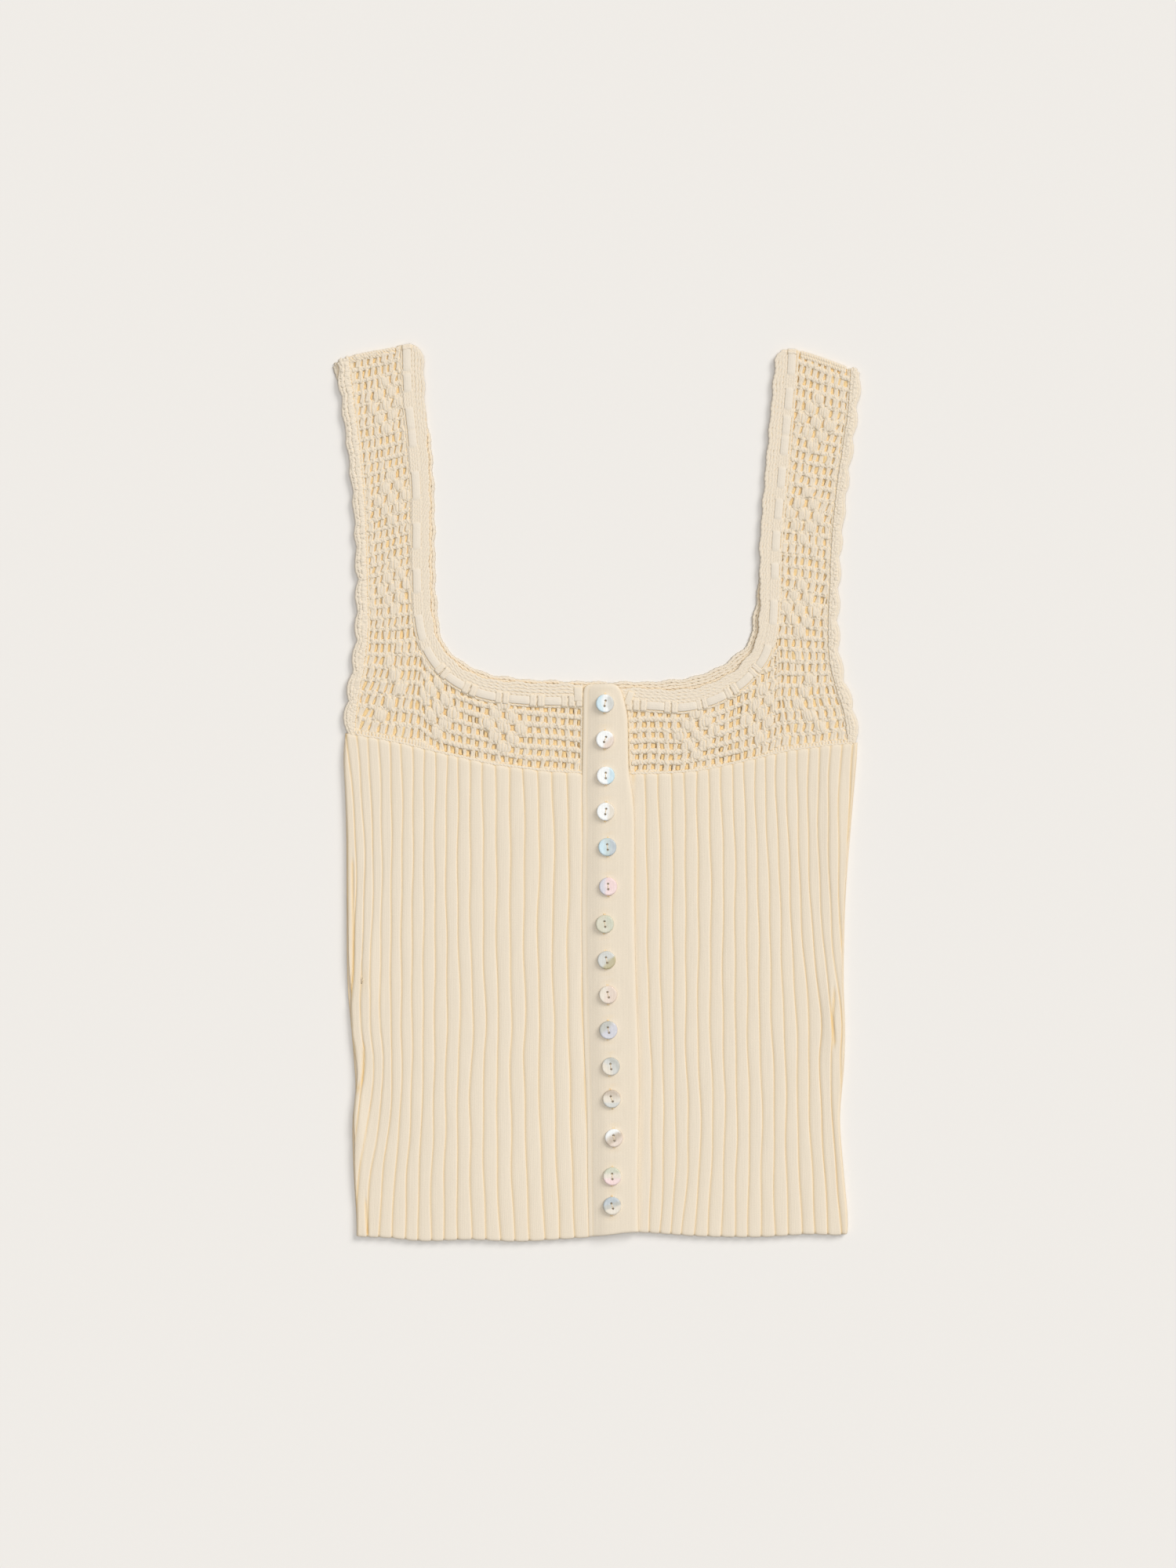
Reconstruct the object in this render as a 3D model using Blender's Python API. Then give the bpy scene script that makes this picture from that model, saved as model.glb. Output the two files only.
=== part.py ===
"""Sleeveless rib-knit top with a crochet yoke and straps, buttoned down the front, laid flat.

The frame: metres, +Z up. The top lies on its back on the plane z = 0. +Y runs from the hem to the
shoulders and +X to the viewer's right, so "left" and "right" in the names are as seen from above.
The origin is under the middle of the outline. Two layers lie on each other: the back panels first,
then the fronts, and the button band and the buttons on top.

Each table gives an edge in millimetres, in the order in which a tape would follow it. A smooth curve
is laid through its rows, and every panel, strip and band is worked out from those curves.
"""

import math

import bmesh
import bpy
from mathutils import Vector

MM = 0.001

# ---- driving dimensions, in millimetres ------------------------------------------------------

SEAM_GAP = 0.3              # between any two pieces that touch
RIB_WALL = 1.8              # rib knit
CROCHET_WALL = 1.6          # crochet mesh
EDGING_WALL = 1.9           # the stitched borders are a little thicker than the mesh
BAND_WALL = 1.8             # plain knit of the button band
RIBBON_WALL = 0.8
RIBBON_WIDTH = 5.2
RIBBON_LIFT = 0.3           # the back ribbon runs this far above the surface
EDGE_ROUND = 0.55           # rounding of a cloth edge
SIDE_ROUND = 1.5            # rounding where the side seams turn from front to back
SIDE_LIP = 0.3              # wall left at the very edge of a side seam
SIDE_STEPS = (0.0, 0.2, 0.55, 1.0)  # lengthwise lines over a rounded side, as parts of its rounding
COLUMN_CLEAR = 6.0          # no other lengthwise line of a rib panel is closer than this to its edge
CORNER_CLEAR = 1.5          # points of a shared edge keep this far from a piece's corners
BACK_INSET = 1.0            # the back's free edges lie this far inside the front's
BACK_BORDER = 6.2           # width of the back's neck border

CORNER_PEEK = 5.0           # the back strap's corner shows past the left shoulder
CORNER_START = 236.0        # and starts to flare out here
CORNER_LIMIT = 1.3          # past the fold the flare stops growing

SCALLOP_PITCH = 17.5        # one scallop of the armhole edging
SCALLOP_HEIGHT = 1.3
SCALLOP_POINTS = 4

BAND_SEAM = 1.4             # flat seam edge of the band, beside the left front
BAND_RAMP = 3.6             # within this width the band climbs over the under band
BAND_EDGE = 0.8             # its edges are rounded over this width
UNDER_BAND_LEFT = -0.6      # left edge of the hidden under band
UNDER_BAND_TOP = 60.0
UNDER_BAND_YOKE_RIGHT = 12.0  # its right edge beside the crochet
UNDER_BAND_COVER = 2.2      # the upper band reaches this far past its right edge beside the ribs

BUTTON_DIAMETER = 10.6      # a 16- to 17-line shell button
BUTTON_THICKNESS = 1.9
BUTTON_RIM = 0.5            # rounding of its rim
BUTTON_DISH_DIAMETER = 7.6
BUTTON_DISH_DEPTH = 0.35
BUTTON_HOLE_DIAMETER = 1.3
BUTTON_HOLE_SPACING = 3.2
BUTTON_SIDES = 20
HOLE_SIDES = 6

CURVE_STEPS = 3             # points of a smooth curve for each row of its table
NECK_STEPS = 2              # the same for the neck edges, whose rows lie closer
MITRE_LIMIT = 0.5           # keeps the inset of a sharp corner short
SHARP_ANGLE = 40            # edges with a larger angle, in degrees, stay sharp

# ---- heights of the layers, in millimetres ---------------------------------------------------

FRONT_RIB_LOW = RIB_WALL + SEAM_GAP
FRONT_RIB_HIGH = FRONT_RIB_LOW + RIB_WALL
FRONT_CROCHET_LOW = EDGING_WALL + SEAM_GAP
FRONT_CROCHET_HIGH = FRONT_CROCHET_LOW + CROCHET_WALL
FRONT_EDGING_HIGH = FRONT_CROCHET_LOW + EDGING_WALL
BAND_LOW = FRONT_EDGING_HIGH + SEAM_GAP
BAND_HIGH = BAND_LOW + BAND_WALL
BUTTON_LOW = BAND_HIGH + SEAM_GAP

# ---- edges of the garment, in millimetres ----------------------------------------------------

# Side edges of the rib panels: along, left, right.
SIDES = (
    (35.0, -147.4, 153.4),
    (20.0, -148.6, 152.6),
    (0.5, -147.6, 150.9),
    (-27.0, -146.8, 148.6),
    (-64.0, -146.7, 145.9),
    (-110.0, -146.3, 144.9),
    (-137.5, -144.0, 145.8),
    (-160.0, -142.2, 145.2),
    (-174.3, -141.4, 144.0),
    (-192.7, -143.3, 142.7),
    (-220.3, -142.7, 144.8),
    (-247.9, -141.0, 147.3),
    (-262.0, -140.9, 147.0),
)

# Seam between ribs and yoke, front and back alike: across, along.
YOKE_SEAM = (
    (-147.4, 35.0),
    (-130.6, 32.4),
    (-114.5, 29.2),
    (-88.3, 22.8),
    (-59.8, 16.6),
    (-30.4, 12.9),
    (-8.7, 11.7),
    (20.2, 11.2),
    (44.6, 11.7),
    (61.2, 13.2),
    (84.6, 18.2),
    (112.2, 24.8),
    (135.0, 27.8),
    (153.4, 29.4),
)

# Hem, front and back alike: across, along.
HEM = (
    (-141.0, -261.0),
    (-121.0, -261.0),
    (-101.7, -262.9),
    (-74.0, -262.0),
    (-46.5, -263.1),
    (-18.9, -261.6),
    (3.7, -259.9),
    (24.4, -257.7),
    (59.3, -260.0),
    (96.1, -260.5),
    (123.7, -258.8),
    (147.0, -260.5),
)

# Armhole edges, from the side seam up past the shoulder fold: across, along, width of the edging.
ARMHOLE_LEFT = (
    (-147.2, 36.0, 5.2),
    (-146.7, 48.0, 5.4),
    (-145.2, 60.0, 5.6),
    (-142.4, 76.0, 6.0),
    (-140.6, 97.0, 6.2),
    (-140.3, 124.7, 5.4),
    (-141.5, 164.0, 5.4),
    (-144.9, 198.3, 6.0),
    (-149.3, 232.0, 6.4),
    (-151.6, 252.0, 6.4),
    (-152.6, 266.0, 6.4),
)
ARMHOLE_RIGHT = (
    (152.8, 30.6, 5.2),
    (150.2, 48.8, 5.2),
    (145.8, 62.6, 5.4),
    (142.1, 78.7, 5.4),
    (141.0, 97.1, 5.0),
    (141.4, 120.1, 4.4),
    (142.8, 147.7, 4.6),
    (146.3, 179.9, 5.0),
    (150.0, 207.5, 4.6),
    (152.5, 228.0, 4.4),
    (154.1, 245.2, 5.0),
    (155.6, 262.0, 5.0),
)

# Front neck edges, from the button band up past the shoulder fold: across, along, border width.
NECK_LEFT = (
    (-8.0, 63.2, 6.6),
    (-33.6, 63.6, 6.8),
    (-54.3, 64.9, 6.4),
    (-68.1, 67.2, 5.6),
    (-80.5, 73.5, 5.2),
    (-89.0, 81.4, 4.8),
    (-94.8, 91.5, 4.2),
    (-97.8, 106.0, 3.8),
    (-98.9, 135.0, 3.8),
    (-98.9, 175.0, 3.9),
    (-100.3, 207.5, 4.8),
    (-101.6, 235.0, 6.2),
    (-102.3, 268.0, 6.4),
)
NECK_RIGHT = (
    (12.5, 60.7, 6.2),
    (23.0, 60.6, 6.2),
    (34.0, 60.0, 6.2),
    (50.0, 59.6, 6.6),
    (65.3, 62.8, 6.2),
    (77.7, 68.6, 5.2),
    (86.0, 75.6, 4.6),
    (92.3, 84.0, 4.4),
    (95.8, 98.0, 4.5),
    (96.6, 117.3, 4.8),
    (96.4, 145.0, 5.8),
    (99.0, 181.0, 6.2),
    (102.1, 216.7, 6.4),
    (104.9, 248.0, 6.4),
    (105.6, 266.0, 6.4),
)

# Back neck edge, from past the left shoulder fold to past the right one: across, along, width.
NECK_BACK = (
    (-103.6, 266.0, BACK_BORDER),
    (-102.4, 230.0, BACK_BORDER),
    (-98.4, 209.0, BACK_BORDER),
    (-96.2, 180.0, BACK_BORDER),
    (-95.6, 150.0, BACK_BORDER),
    (-95.0, 118.0, BACK_BORDER),
    (-91.5, 90.0, BACK_BORDER),
    (-83.0, 79.3, BACK_BORDER),
    (-68.1, 70.5, BACK_BORDER),
    (-43.7, 66.0, BACK_BORDER),
    (-10.0, 64.6, BACK_BORDER),
    (30.0, 64.4, BACK_BORDER),
    (53.8, 66.8, BACK_BORDER),
    (69.0, 71.6, BACK_BORDER),
    (82.0, 80.2, BACK_BORDER),
    (89.8, 88.5, BACK_BORDER),
    (92.5, 102.6, BACK_BORDER),
    (95.2, 121.0, BACK_BORDER),
    (98.4, 150.0, BACK_BORDER),
    (102.0, 200.0, BACK_BORDER),
    (106.6, 264.0, BACK_BORDER),
)

# Shoulder folds, from left to right: across, along.
SHOULDER_LEFT = (
    (-155.2, 249.2),
    (-151.4, 252.4),
    (-141.0, 256.8),
    (-124.0, 260.0),
    (-109.0, 262.8),
    (-105.0, 262.0),
    (-102.2, 257.8),
)
SHOULDER_RIGHT = (
    (105.2, 256.8),
    (108.4, 259.0),
    (116.0, 259.8),
    (128.0, 256.4),
    (142.0, 251.4),
    (154.1, 246.4),
)

# Button band: along, left edge, right edge.
BAND = (
    (63.9, -2.6, 9.2),
    (62.6, -6.0, 12.2),
    (59.4, -7.4, 14.6),
    (54.0, -7.6, 16.2),
    (43.2, -7.7, 18.2),
    (15.0, -8.2, 18.8),
    (0.5, -8.5, 20.9),
    (-18.0, -8.2, 22.3),
    (-60.0, -8.8, 22.2),
    (-105.0, -8.4, 22.9),
    (-150.0, -7.2, 24.6),
    (-185.0, -5.8, 25.0),
    (-225.0, -5.2, 24.2),
    (-259.8, -4.6, 24.6),
)

# Buttons: across, along, turn of the line through the two holes in degrees.
BUTTONS = (
    (4.9, 52.3, -11.0),
    (4.9, 31.1, -22.0),
    (5.3, 10.0, 0.0),
    (5.3, -11.1, -9.5),
    (6.3, -31.9, 6.0),
    (6.7, -55.0, 2.5),
    (4.8, -77.0, 9.0),
    (5.8, -98.1, 11.6),
    (6.7, -118.4, 14.0),
    (6.9, -139.1, 13.0),
    (8.3, -160.4, 9.0),
    (8.8, -179.4, 21.0),
    (10.1, -202.3, 10.0),
    (9.1, -224.8, 3.0),
    (9.1, -242.1, 17.0),
)

# Soft folds of the front ribs: across, along, half width, half length, height.
FOLDS = (
    (-139.5, -196.0, 4.0, 22.0, 1.1),
    (-134.0, -110.0, 5.0, 30.0, 0.5),
    (137.5, -133.0, 4.5, 26.0, 0.8),
    (139.0, -20.0, 6.0, 45.0, 0.6),
    (-70.0, -215.0, 26.0, 50.0, 0.4),
    (75.0, -60.0, 30.0, 70.0, 0.4),
)

COLOURS = {
    "rib": (0.83, 0.74, 0.60, 1.0),
    "crochet": (0.86, 0.77, 0.62, 1.0),
    "ribbon": (0.88, 0.80, 0.68, 1.0),
    "band": (0.82, 0.73, 0.59, 1.0),
    "shell": (0.80, 0.82, 0.80, 1.0),
}
ROUGHNESS = {"rib": 0.92, "crochet": 0.92, "ribbon": 0.75, "band": 0.92, "shell": 0.18}


# ---- curves ----------------------------------------------------------------------------------

def smooth(rows, steps=CURVE_STEPS):
    """Catmull-Rom curve through the rows; every column is carried along."""
    first = [2 * a - b for a, b in zip(rows[0], rows[1])]
    last = [2 * a - b for a, b in zip(rows[-1], rows[-2])]
    padded = [first] + [list(row) for row in rows] + [last]
    curve = []
    for p0, p1, p2, p3 in zip(padded, padded[1:], padded[2:], padded[3:]):
        for step in range(steps):
            t = step / steps
            curve.append(tuple(
                0.5 * (2 * b + (c - a) * t + (2 * a - 5 * b + 4 * c - d) * t ** 2
                       + (3 * b - a - 3 * c + d) * t ** 3)
                for a, b, c, d in zip(p0, p1, p2, p3)
            ))
    curve.append(tuple(rows[-1]))
    return curve


def read(curve, key, place, wanted):
    """Value in one column of a curve, where another column, which rises, has the given place."""
    if place <= curve[0][key]:
        return curve[0][wanted]
    for a, b in zip(curve, curve[1:]):
        if place <= b[key]:
            t = (place - a[key]) / (b[key] - a[key])
            return a[wanted] + (b[wanted] - a[wanted]) * t
    return curve[-1][wanted]


HEM_CURVE = smooth(HEM)
BAND_CURVE = smooth(BAND)[::-1]
SHOULDER_CURVES = {"left": smooth(SHOULDER_LEFT), "right": smooth(SHOULDER_RIGHT)}


def seam_at(across):
    """Place along the garment of the yoke seam."""
    return read(YOKE_SEAM, 0, across, 1)


def hem_at(across):
    """Place along the garment of the hem."""
    return read(HEM_CURVE, 0, across, 1)


def band_at(along, edge):
    """Place across of the band's edge: 1 is the left one, 2 the right one."""
    return read(BAND_CURVE, 0, along, edge)


def normals(curve):
    """Unit vector to the right of the way along the curve, at each of its points."""
    result = []
    for index in range(len(curve)):
        before = curve[max(index - 1, 0)]
        after = curve[min(index + 1, len(curve) - 1)]
        dx, dy = after[0] - before[0], after[1] - before[1]
        size = math.hypot(dx, dy)
        result.append((dy / size, -dx / size))
    return result


def shifted(curve, side, extra=0.0, use_width=True):
    """Parallel curve, by each row's own width and an extra; side +1 is to the right of its way."""
    moved = []
    for row, normal in zip(curve, normals(curve)):
        amount = side * ((row[2] if use_width else 0.0) + extra)
        moved.append((row[0] + normal[0] * amount, row[1] + normal[1] * amount, row[2]))
    return moved


def scalloped(curve, side):
    """Armhole edge with its scallops, which stand out on the given side."""
    run = [0.0]
    for a, b in zip(curve, curve[1:]):
        run.append(run[-1] + math.dist(a[:2], b[:2]))
    measured = [(distance,) + row for distance, row in zip(run, curve)]
    steps = round(run[-1] / SCALLOP_PITCH) * SCALLOP_POINTS
    even = []
    for step in range(steps + 1):
        distance = run[-1] * step / steps
        even.append(tuple(read(measured, 0, distance, column) for column in (1, 2, 3)))
    result = []
    for step, (row, normal) in enumerate(zip(even, normals(even))):
        phase = (step % SCALLOP_POINTS) / SCALLOP_POINTS
        bump = side * SCALLOP_HEIGHT * (math.sin(math.pi * phase) - 0.5)
        result.append((row[0] + normal[0] * bump, row[1] + normal[1] * bump, row[2]))
    return result


def cut_at_fold(curve, label):
    """The part of a rising curve that lies below the shoulder fold, with its last point on it."""
    fold = SHOULDER_CURVES[label]
    kept = [curve[0]]
    for a, b in zip(curve, curve[1:]):
        over = b[1] - read(fold, 0, b[0], 1)
        if over > 0:
            under = read(fold, 0, a[0], 1) - a[1]
            t = under / (under + over)
            kept.append(tuple(u + (v - u) * t for u, v in zip(a, b)))
            return kept
        kept.append(b)
    return kept


def fold_between(label, one, other):
    """Points of a shoulder fold between the ends of two lines, from the first to the second."""
    low, high = sorted((one[0], other[0]))
    inside = low + CORNER_CLEAR, high - CORNER_CLEAR
    points = [row for row in SHOULDER_CURVES[label] if inside[0] < row[0] < inside[1]]
    return points if one[0] < other[0] else points[::-1]


def seam_between(one, other):
    """Points of the yoke seam between two places across, from the first to the second."""
    low, high = sorted((one, other))
    inside = low + CORNER_CLEAR, high - CORNER_CLEAR
    points = [row for row in YOKE_SEAM if inside[0] < row[0] < inside[1]]
    return points if one < other else points[::-1]


# ---- solids ----------------------------------------------------------------------------------

def material(kind):
    """Principled material of one kind of cloth or shell."""
    name = "mat_" + kind
    made = bpy.data.materials.get(name)
    if made:
        return made
    made = bpy.data.materials.new(name)
    made.use_nodes = True
    made.diffuse_color = COLOURS[kind]
    shader = made.node_tree.nodes["Principled BSDF"]
    shader.inputs["Base Color"].default_value = COLOURS[kind]
    shader.inputs["Roughness"].default_value = ROUGHNESS[kind]
    shader.inputs["Metallic"].default_value = 0.0
    return made


def finished_mesh(name, solid, kind):
    """Mesh of a closed solid, facing out, smooth on its rounded edges."""
    bmesh.ops.recalc_face_normals(solid, faces=solid.faces)
    mesh = bpy.data.meshes.new(name)
    solid.to_mesh(mesh)
    solid.free()
    mesh.materials.append(material(kind))
    mesh.shade_smooth()
    mesh.set_sharp_from_angle(angle=math.radians(SHARP_ANGLE))
    return mesh


def add_object(name, mesh):
    """Named object at the origin."""
    made = bpy.data.objects.new(name, mesh)
    bpy.context.collection.objects.link(made)
    return made


def inset(outline, distance):
    """Closed anticlockwise outline moved inwards, point by point."""
    moved = []
    for before, here, after in zip(outline[-1:] + outline[:-1], outline, outline[1:] + outline[:1]):
        d1 = Vector((here[0] - before[0], here[1] - before[1])).normalized()
        d2 = Vector((after[0] - here[0], after[1] - here[1])).normalized()
        n1, n2 = Vector((-d1.y, d1.x)), Vector((-d2.y, d2.x))
        between = (n1 + n2).normalized()
        reach = distance / max(between.dot(n1), MITRE_LIMIT)
        moved.append((here[0] + between.x * reach, here[1] + between.y * reach))
    return moved


def plate(name, outline, low, high, kind):
    """Flat cloth piece of the given outline, with its upper edge rounded."""
    points = [outline[0][:2]]
    for row in outline[1:]:
        if math.dist(row[:2], points[-1]) > EDGE_ROUND:
            points.append(row[:2])
    if math.dist(points[0], points[-1]) < EDGE_ROUND:
        points.pop()
    area = sum(a[0] * b[1] - b[0] * a[1] for a, b in zip(points, points[1:] + points[:1]))
    if area < 0:
        points = points[::-1]
    rounding = min(EDGE_ROUND, (high - low) / 2)
    solid = bmesh.new()
    loops = []
    for distance, height in ((0.0, low), (0.0, high - rounding), (rounding, high)):
        ring = inset(points, distance)
        loops.append([solid.verts.new((x * MM, y * MM, height * MM)) for x, y in ring])
    for lower, upper in zip(loops, loops[1:]):
        for a, b, c, d in zip(lower, lower[1:] + lower[:1], upper[1:] + upper[:1], upper):
            solid.faces.new((a, b, c, d))
    solid.faces.new(loops[0][::-1])
    solid.faces.new(loops[-1])
    return add_object(name, finished_mesh(name, solid, kind))


def wall(name, sections, kind):
    """Cloth wall through sections; a section is a row of (across, along, low, high)."""
    solid = bmesh.new()
    lower = [[solid.verts.new((x * MM, y * MM, a * MM)) for x, y, a, b in row] for row in sections]
    upper = [[solid.verts.new((x * MM, y * MM, b * MM)) for x, y, a, b in row] for row in sections]
    last_row, last = len(sections) - 1, len(sections[0]) - 1
    for grid in (lower, upper):
        for row, after in zip(grid, grid[1:]):
            for i in range(last):
                solid.faces.new((row[i], row[i + 1], after[i + 1], after[i]))
    for i in range(last):
        for k in (0, last_row):
            solid.faces.new((lower[k][i], lower[k][i + 1], upper[k][i + 1], upper[k][i]))
    for k in range(last_row):
        for i in (0, last):
            solid.faces.new((lower[k][i], lower[k + 1][i], upper[k + 1][i], upper[k][i]))
    return add_object(name, finished_mesh(name, solid, kind))


# ---- rib panels ------------------------------------------------------------------------------

def fold_height(across, along):
    """Rise of the front ribs over their soft folds."""
    return sum(
        height * math.exp(-((across - x) / half_width) ** 2 - ((along - y) / half_length) ** 2)
        for x, y, half_width, half_length, height in FOLDS
    )


def side_drop(distance):
    """How far a rounded side edge falls, at a distance in from the edge."""
    if distance >= SIDE_ROUND:
        return 0.0
    reach = SIDE_ROUND - distance
    return min(SIDE_ROUND - math.sqrt(SIDE_ROUND ** 2 - reach ** 2), RIB_WALL - SIDE_LIP)


def columns_between(left, right, left_is_side, right_is_side):
    """Places across a panel: those of the yoke seam, and close ones over a rounded side edge."""
    near = [part * SIDE_ROUND for part in SIDE_STEPS]
    first = [left + step for step in near] if left_is_side else [left]
    end = [right - step for step in near[::-1]] if right_is_side else [right]
    inside = [row[0] for row in YOKE_SEAM if left + COLUMN_CLEAR < row[0] < right - COLUMN_CLEAR]
    return first + inside + end


def along_stations(across):
    """Places along the garment of the rib panels' sections, at one place across."""
    top, bottom = SIDES[0][0], SIDES[-1][0]
    seam, hem = seam_at(across) - SEAM_GAP, hem_at(across)
    return [seam + (hem - seam) * (top - row[0]) / (top - bottom) for row in SIDES]


def under_band_right(along):
    """Right edge of the hidden under band, beside the ribs."""
    return band_at(along, 2) - UNDER_BAND_COVER


def rib_panel(name, left_edges, right_edges, is_front):
    """Rib panel between two edges, each with a place across for every section, or a side seam."""
    sections = []
    for index, row in enumerate(SIDES):
        left = left_edges[index] if left_edges else row[1]
        right = right_edges[index] if right_edges else row[2]
        section = []
        for across in columns_between(left, right, not left_edges, not right_edges):
            along = along_stations(across)[index]
            drop = 0.0 if left_edges else side_drop(across - left)
            drop += 0.0 if right_edges else side_drop(right - across)
            if is_front:
                rise = fold_height(across, along)
                section.append((across, along, FRONT_RIB_LOW + rise, FRONT_RIB_HIGH + rise - drop))
            else:
                section.append((across, along, drop, RIB_WALL))
        sections.append(section)
    wall(name, sections, "rib")


def build_ribs():
    """Back panel and both fronts; at the sides the fronts turn down and the back turns up."""
    band_stations = along_stations(UNDER_BAND_YOKE_RIGHT)
    left_inner = [band_at(along, 1) - SEAM_GAP for along in band_stations]
    right_inner = [under_band_right(along) + SEAM_GAP for along in band_stations]
    rib_panel("back_rib", None, None, False)
    rib_panel("front_rib_left", None, left_inner, True)
    rib_panel("front_rib_right", right_inner, None, True)


# ---- yoke, straps and their trims ------------------------------------------------------------

def neck_lines(neck, side):
    """Both edges of the neck border, both edges of the ribbon, and the edge of the mesh."""
    curve = smooth(neck, NECK_STEPS)
    ribbon_in = SEAM_GAP + RIBBON_WIDTH
    return [curve] + [shifted(curve, side, run) for run in (0, SEAM_GAP, ribbon_in, ribbon_in + SEAM_GAP)]


def build_front_yoke(label, neck, armhole, side, band_edge):
    """One front yoke with its strap, armhole edging, neck border and ribbon.

    The side is -1 for the left front and +1 for the right one: the mesh lies on that side of the
    neck edge's way up to the shoulder, and on the other side of the armhole's.
    """
    border, border_in, ribbon_out, ribbon_in, mesh = [
        cut_at_fold(line, label) for line in neck_lines(neck, side)
    ]
    low, high = FRONT_CROCHET_LOW, FRONT_CROCHET_HIGH
    corner = fold_between(label, border[-1], border_in[-1])
    outline = border + corner + border_in[::-1]
    plate("neck_edging_front_" + label, outline, low, FRONT_EDGING_HIGH, "crochet")
    outline = ribbon_out + ribbon_in[::-1]
    plate("ribbon_front_" + label, outline, high - RIBBON_WALL, high, "ribbon")

    arm_out = cut_at_fold(scalloped(smooth(armhole), side), label)
    arm_in = cut_at_fold(shifted(armhole, -side), label)
    outline = arm_out + fold_between(label, arm_out[-1], arm_in[-1]) + arm_in[::-1]
    plate("armhole_edging_front_" + label, outline, low, FRONT_EDGING_HIGH, "crochet")

    mesh_arm = cut_at_fold(shifted(armhole, -side, SEAM_GAP), label)
    start = mesh_arm[0][0]
    outline = [(start, seam_at(start))] + seam_between(start, band_edge)
    outline += [(band_edge, seam_at(band_edge))] + mesh
    outline += fold_between(label, mesh[-1], mesh_arm[-1]) + mesh_arm[:0:-1]
    plate("front_yoke_" + label, outline, low, high, "crochet")


def back_armhole(armhole, side, peek):
    """Armhole edge of the back: inside the front's, but for the corner that shows."""
    rows = shifted(smooth(armhole), -side, BACK_INSET, use_width=False)
    top = SHOULDER_LEFT[0][1]
    result = []
    for across, along, width in rows:
        flare = max(0.0, (along - CORNER_START) / (top - CORNER_START))
        result.append((across + side * peek * min(flare, CORNER_LIMIT) ** 2, along, width))
    return result


def build_back_yoke():
    """Back yoke with both straps in one piece, its armhole edgings, neck border and ribbon."""
    lines = []
    for line in neck_lines(NECK_BACK, 1):
        middle = len(line) // 2
        left = cut_at_fold(line[middle::-1], "left")
        right = cut_at_fold(line[middle:], "right")
        lines.append(left[:0:-1] + right)
    border, border_in, ribbon_out, ribbon_in, mesh = lines
    left_corner = fold_between("left", border_in[0], border[0])
    right_corner = fold_between("right", border[-1], border_in[-1])
    outline = left_corner + border + right_corner + border_in[::-1]
    plate("neck_edging_back", outline, 0.0, EDGING_WALL, "crochet")
    outline = ribbon_out + ribbon_in[::-1]
    plate("ribbon_back", outline, RIBBON_LIFT, RIBBON_LIFT + RIBBON_WALL, "ribbon")

    mesh_arms = {}
    for label, armhole, side, peek in (
        ("left", ARMHOLE_LEFT, -1, CORNER_PEEK),
        ("right", ARMHOLE_RIGHT, 1, 0.0),
    ):
        arm = back_armhole(armhole, side, peek)
        arm_out = cut_at_fold(scalloped(arm, side), label)
        arm_in = cut_at_fold(shifted(arm[::CURVE_STEPS], -side), label)
        outline = arm_out + fold_between(label, arm_out[-1], arm_in[-1]) + arm_in[::-1]
        plate("armhole_edging_back_" + label, outline, 0.0, EDGING_WALL, "crochet")
        mesh_arms[label] = cut_at_fold(shifted(arm[::CURVE_STEPS], -side, SEAM_GAP), label)

    left, right = mesh_arms["left"], mesh_arms["right"]
    start, end = left[0][0], right[0][0]
    outline = [(start, seam_at(start))] + seam_between(start, end) + [(end, seam_at(end))]
    outline += right[1:] + fold_between("right", right[-1], mesh[-1]) + mesh[::-1]
    outline += fold_between("left", mesh[0], left[-1]) + left[:0:-1]
    plate("back_yoke", outline, 0.0, CROCHET_WALL, "crochet")


# ---- button bands and buttons ----------------------------------------------------------------

def build_upper_band():
    """Band with the buttonholes: its left edge is sewn on, and it climbs over the under band."""
    stations = along_stations(UNDER_BAND_YOKE_RIGHT)
    beside_yoke = [row[0] for row in BAND if row[0] > stations[0]]
    sections = []
    for along in beside_yoke + stations:
        left, right = band_at(along, 1), band_at(along, 2)
        middle = (left + BAND_RAMP + right) / 2
        row = []
        for across, low, high in (
            (left, FRONT_RIB_LOW, FRONT_RIB_HIGH - EDGE_ROUND),
            (left + BAND_SEAM / 2, FRONT_RIB_LOW, FRONT_RIB_HIGH),
            (left + BAND_SEAM, FRONT_RIB_LOW, FRONT_RIB_HIGH),
            (left + BAND_RAMP, BAND_LOW, BAND_HIGH),
            (middle, BAND_LOW, BAND_HIGH),
            (right - BAND_EDGE, BAND_LOW, BAND_HIGH),
            (right, BAND_LOW, BAND_HIGH - EDGE_ROUND),
        ):
            place = hem_at(across) if along == stations[-1] else along
            row.append((across, place, low, high))
        sections.append(row)
    wall("placket_over", sections, "band")


def build_under_band():
    """Hidden band that carries the buttons, in the plane of the right front."""
    stations = along_stations(UNDER_BAND_YOKE_RIGHT)
    right_edge = [(under_band_right(along), along) for along in stations]
    outline = [
        (UNDER_BAND_YOKE_RIGHT, stations[0]),
        (UNDER_BAND_YOKE_RIGHT, UNDER_BAND_TOP),
        (UNDER_BAND_LEFT, UNDER_BAND_TOP),
        (UNDER_BAND_LEFT, hem_at(UNDER_BAND_LEFT)),
    ] + right_edge[::-1]
    plate("placket_under", outline, FRONT_RIB_LOW, BAND_LOW - SEAM_GAP, "band")


def circle(solid, radius, height, sides, across=0.0, along=0.0):
    """Ring of vertices, and its edges."""
    ring = []
    for index in range(sides):
        angle = 2 * math.pi * index / sides
        x, y = across + radius * math.cos(angle), along + radius * math.sin(angle)
        ring.append(solid.verts.new((x * MM, y * MM, height * MM)))
    return ring, [solid.edges.new(pair) for pair in zip(ring, ring[1:] + ring[:1])]


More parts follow.
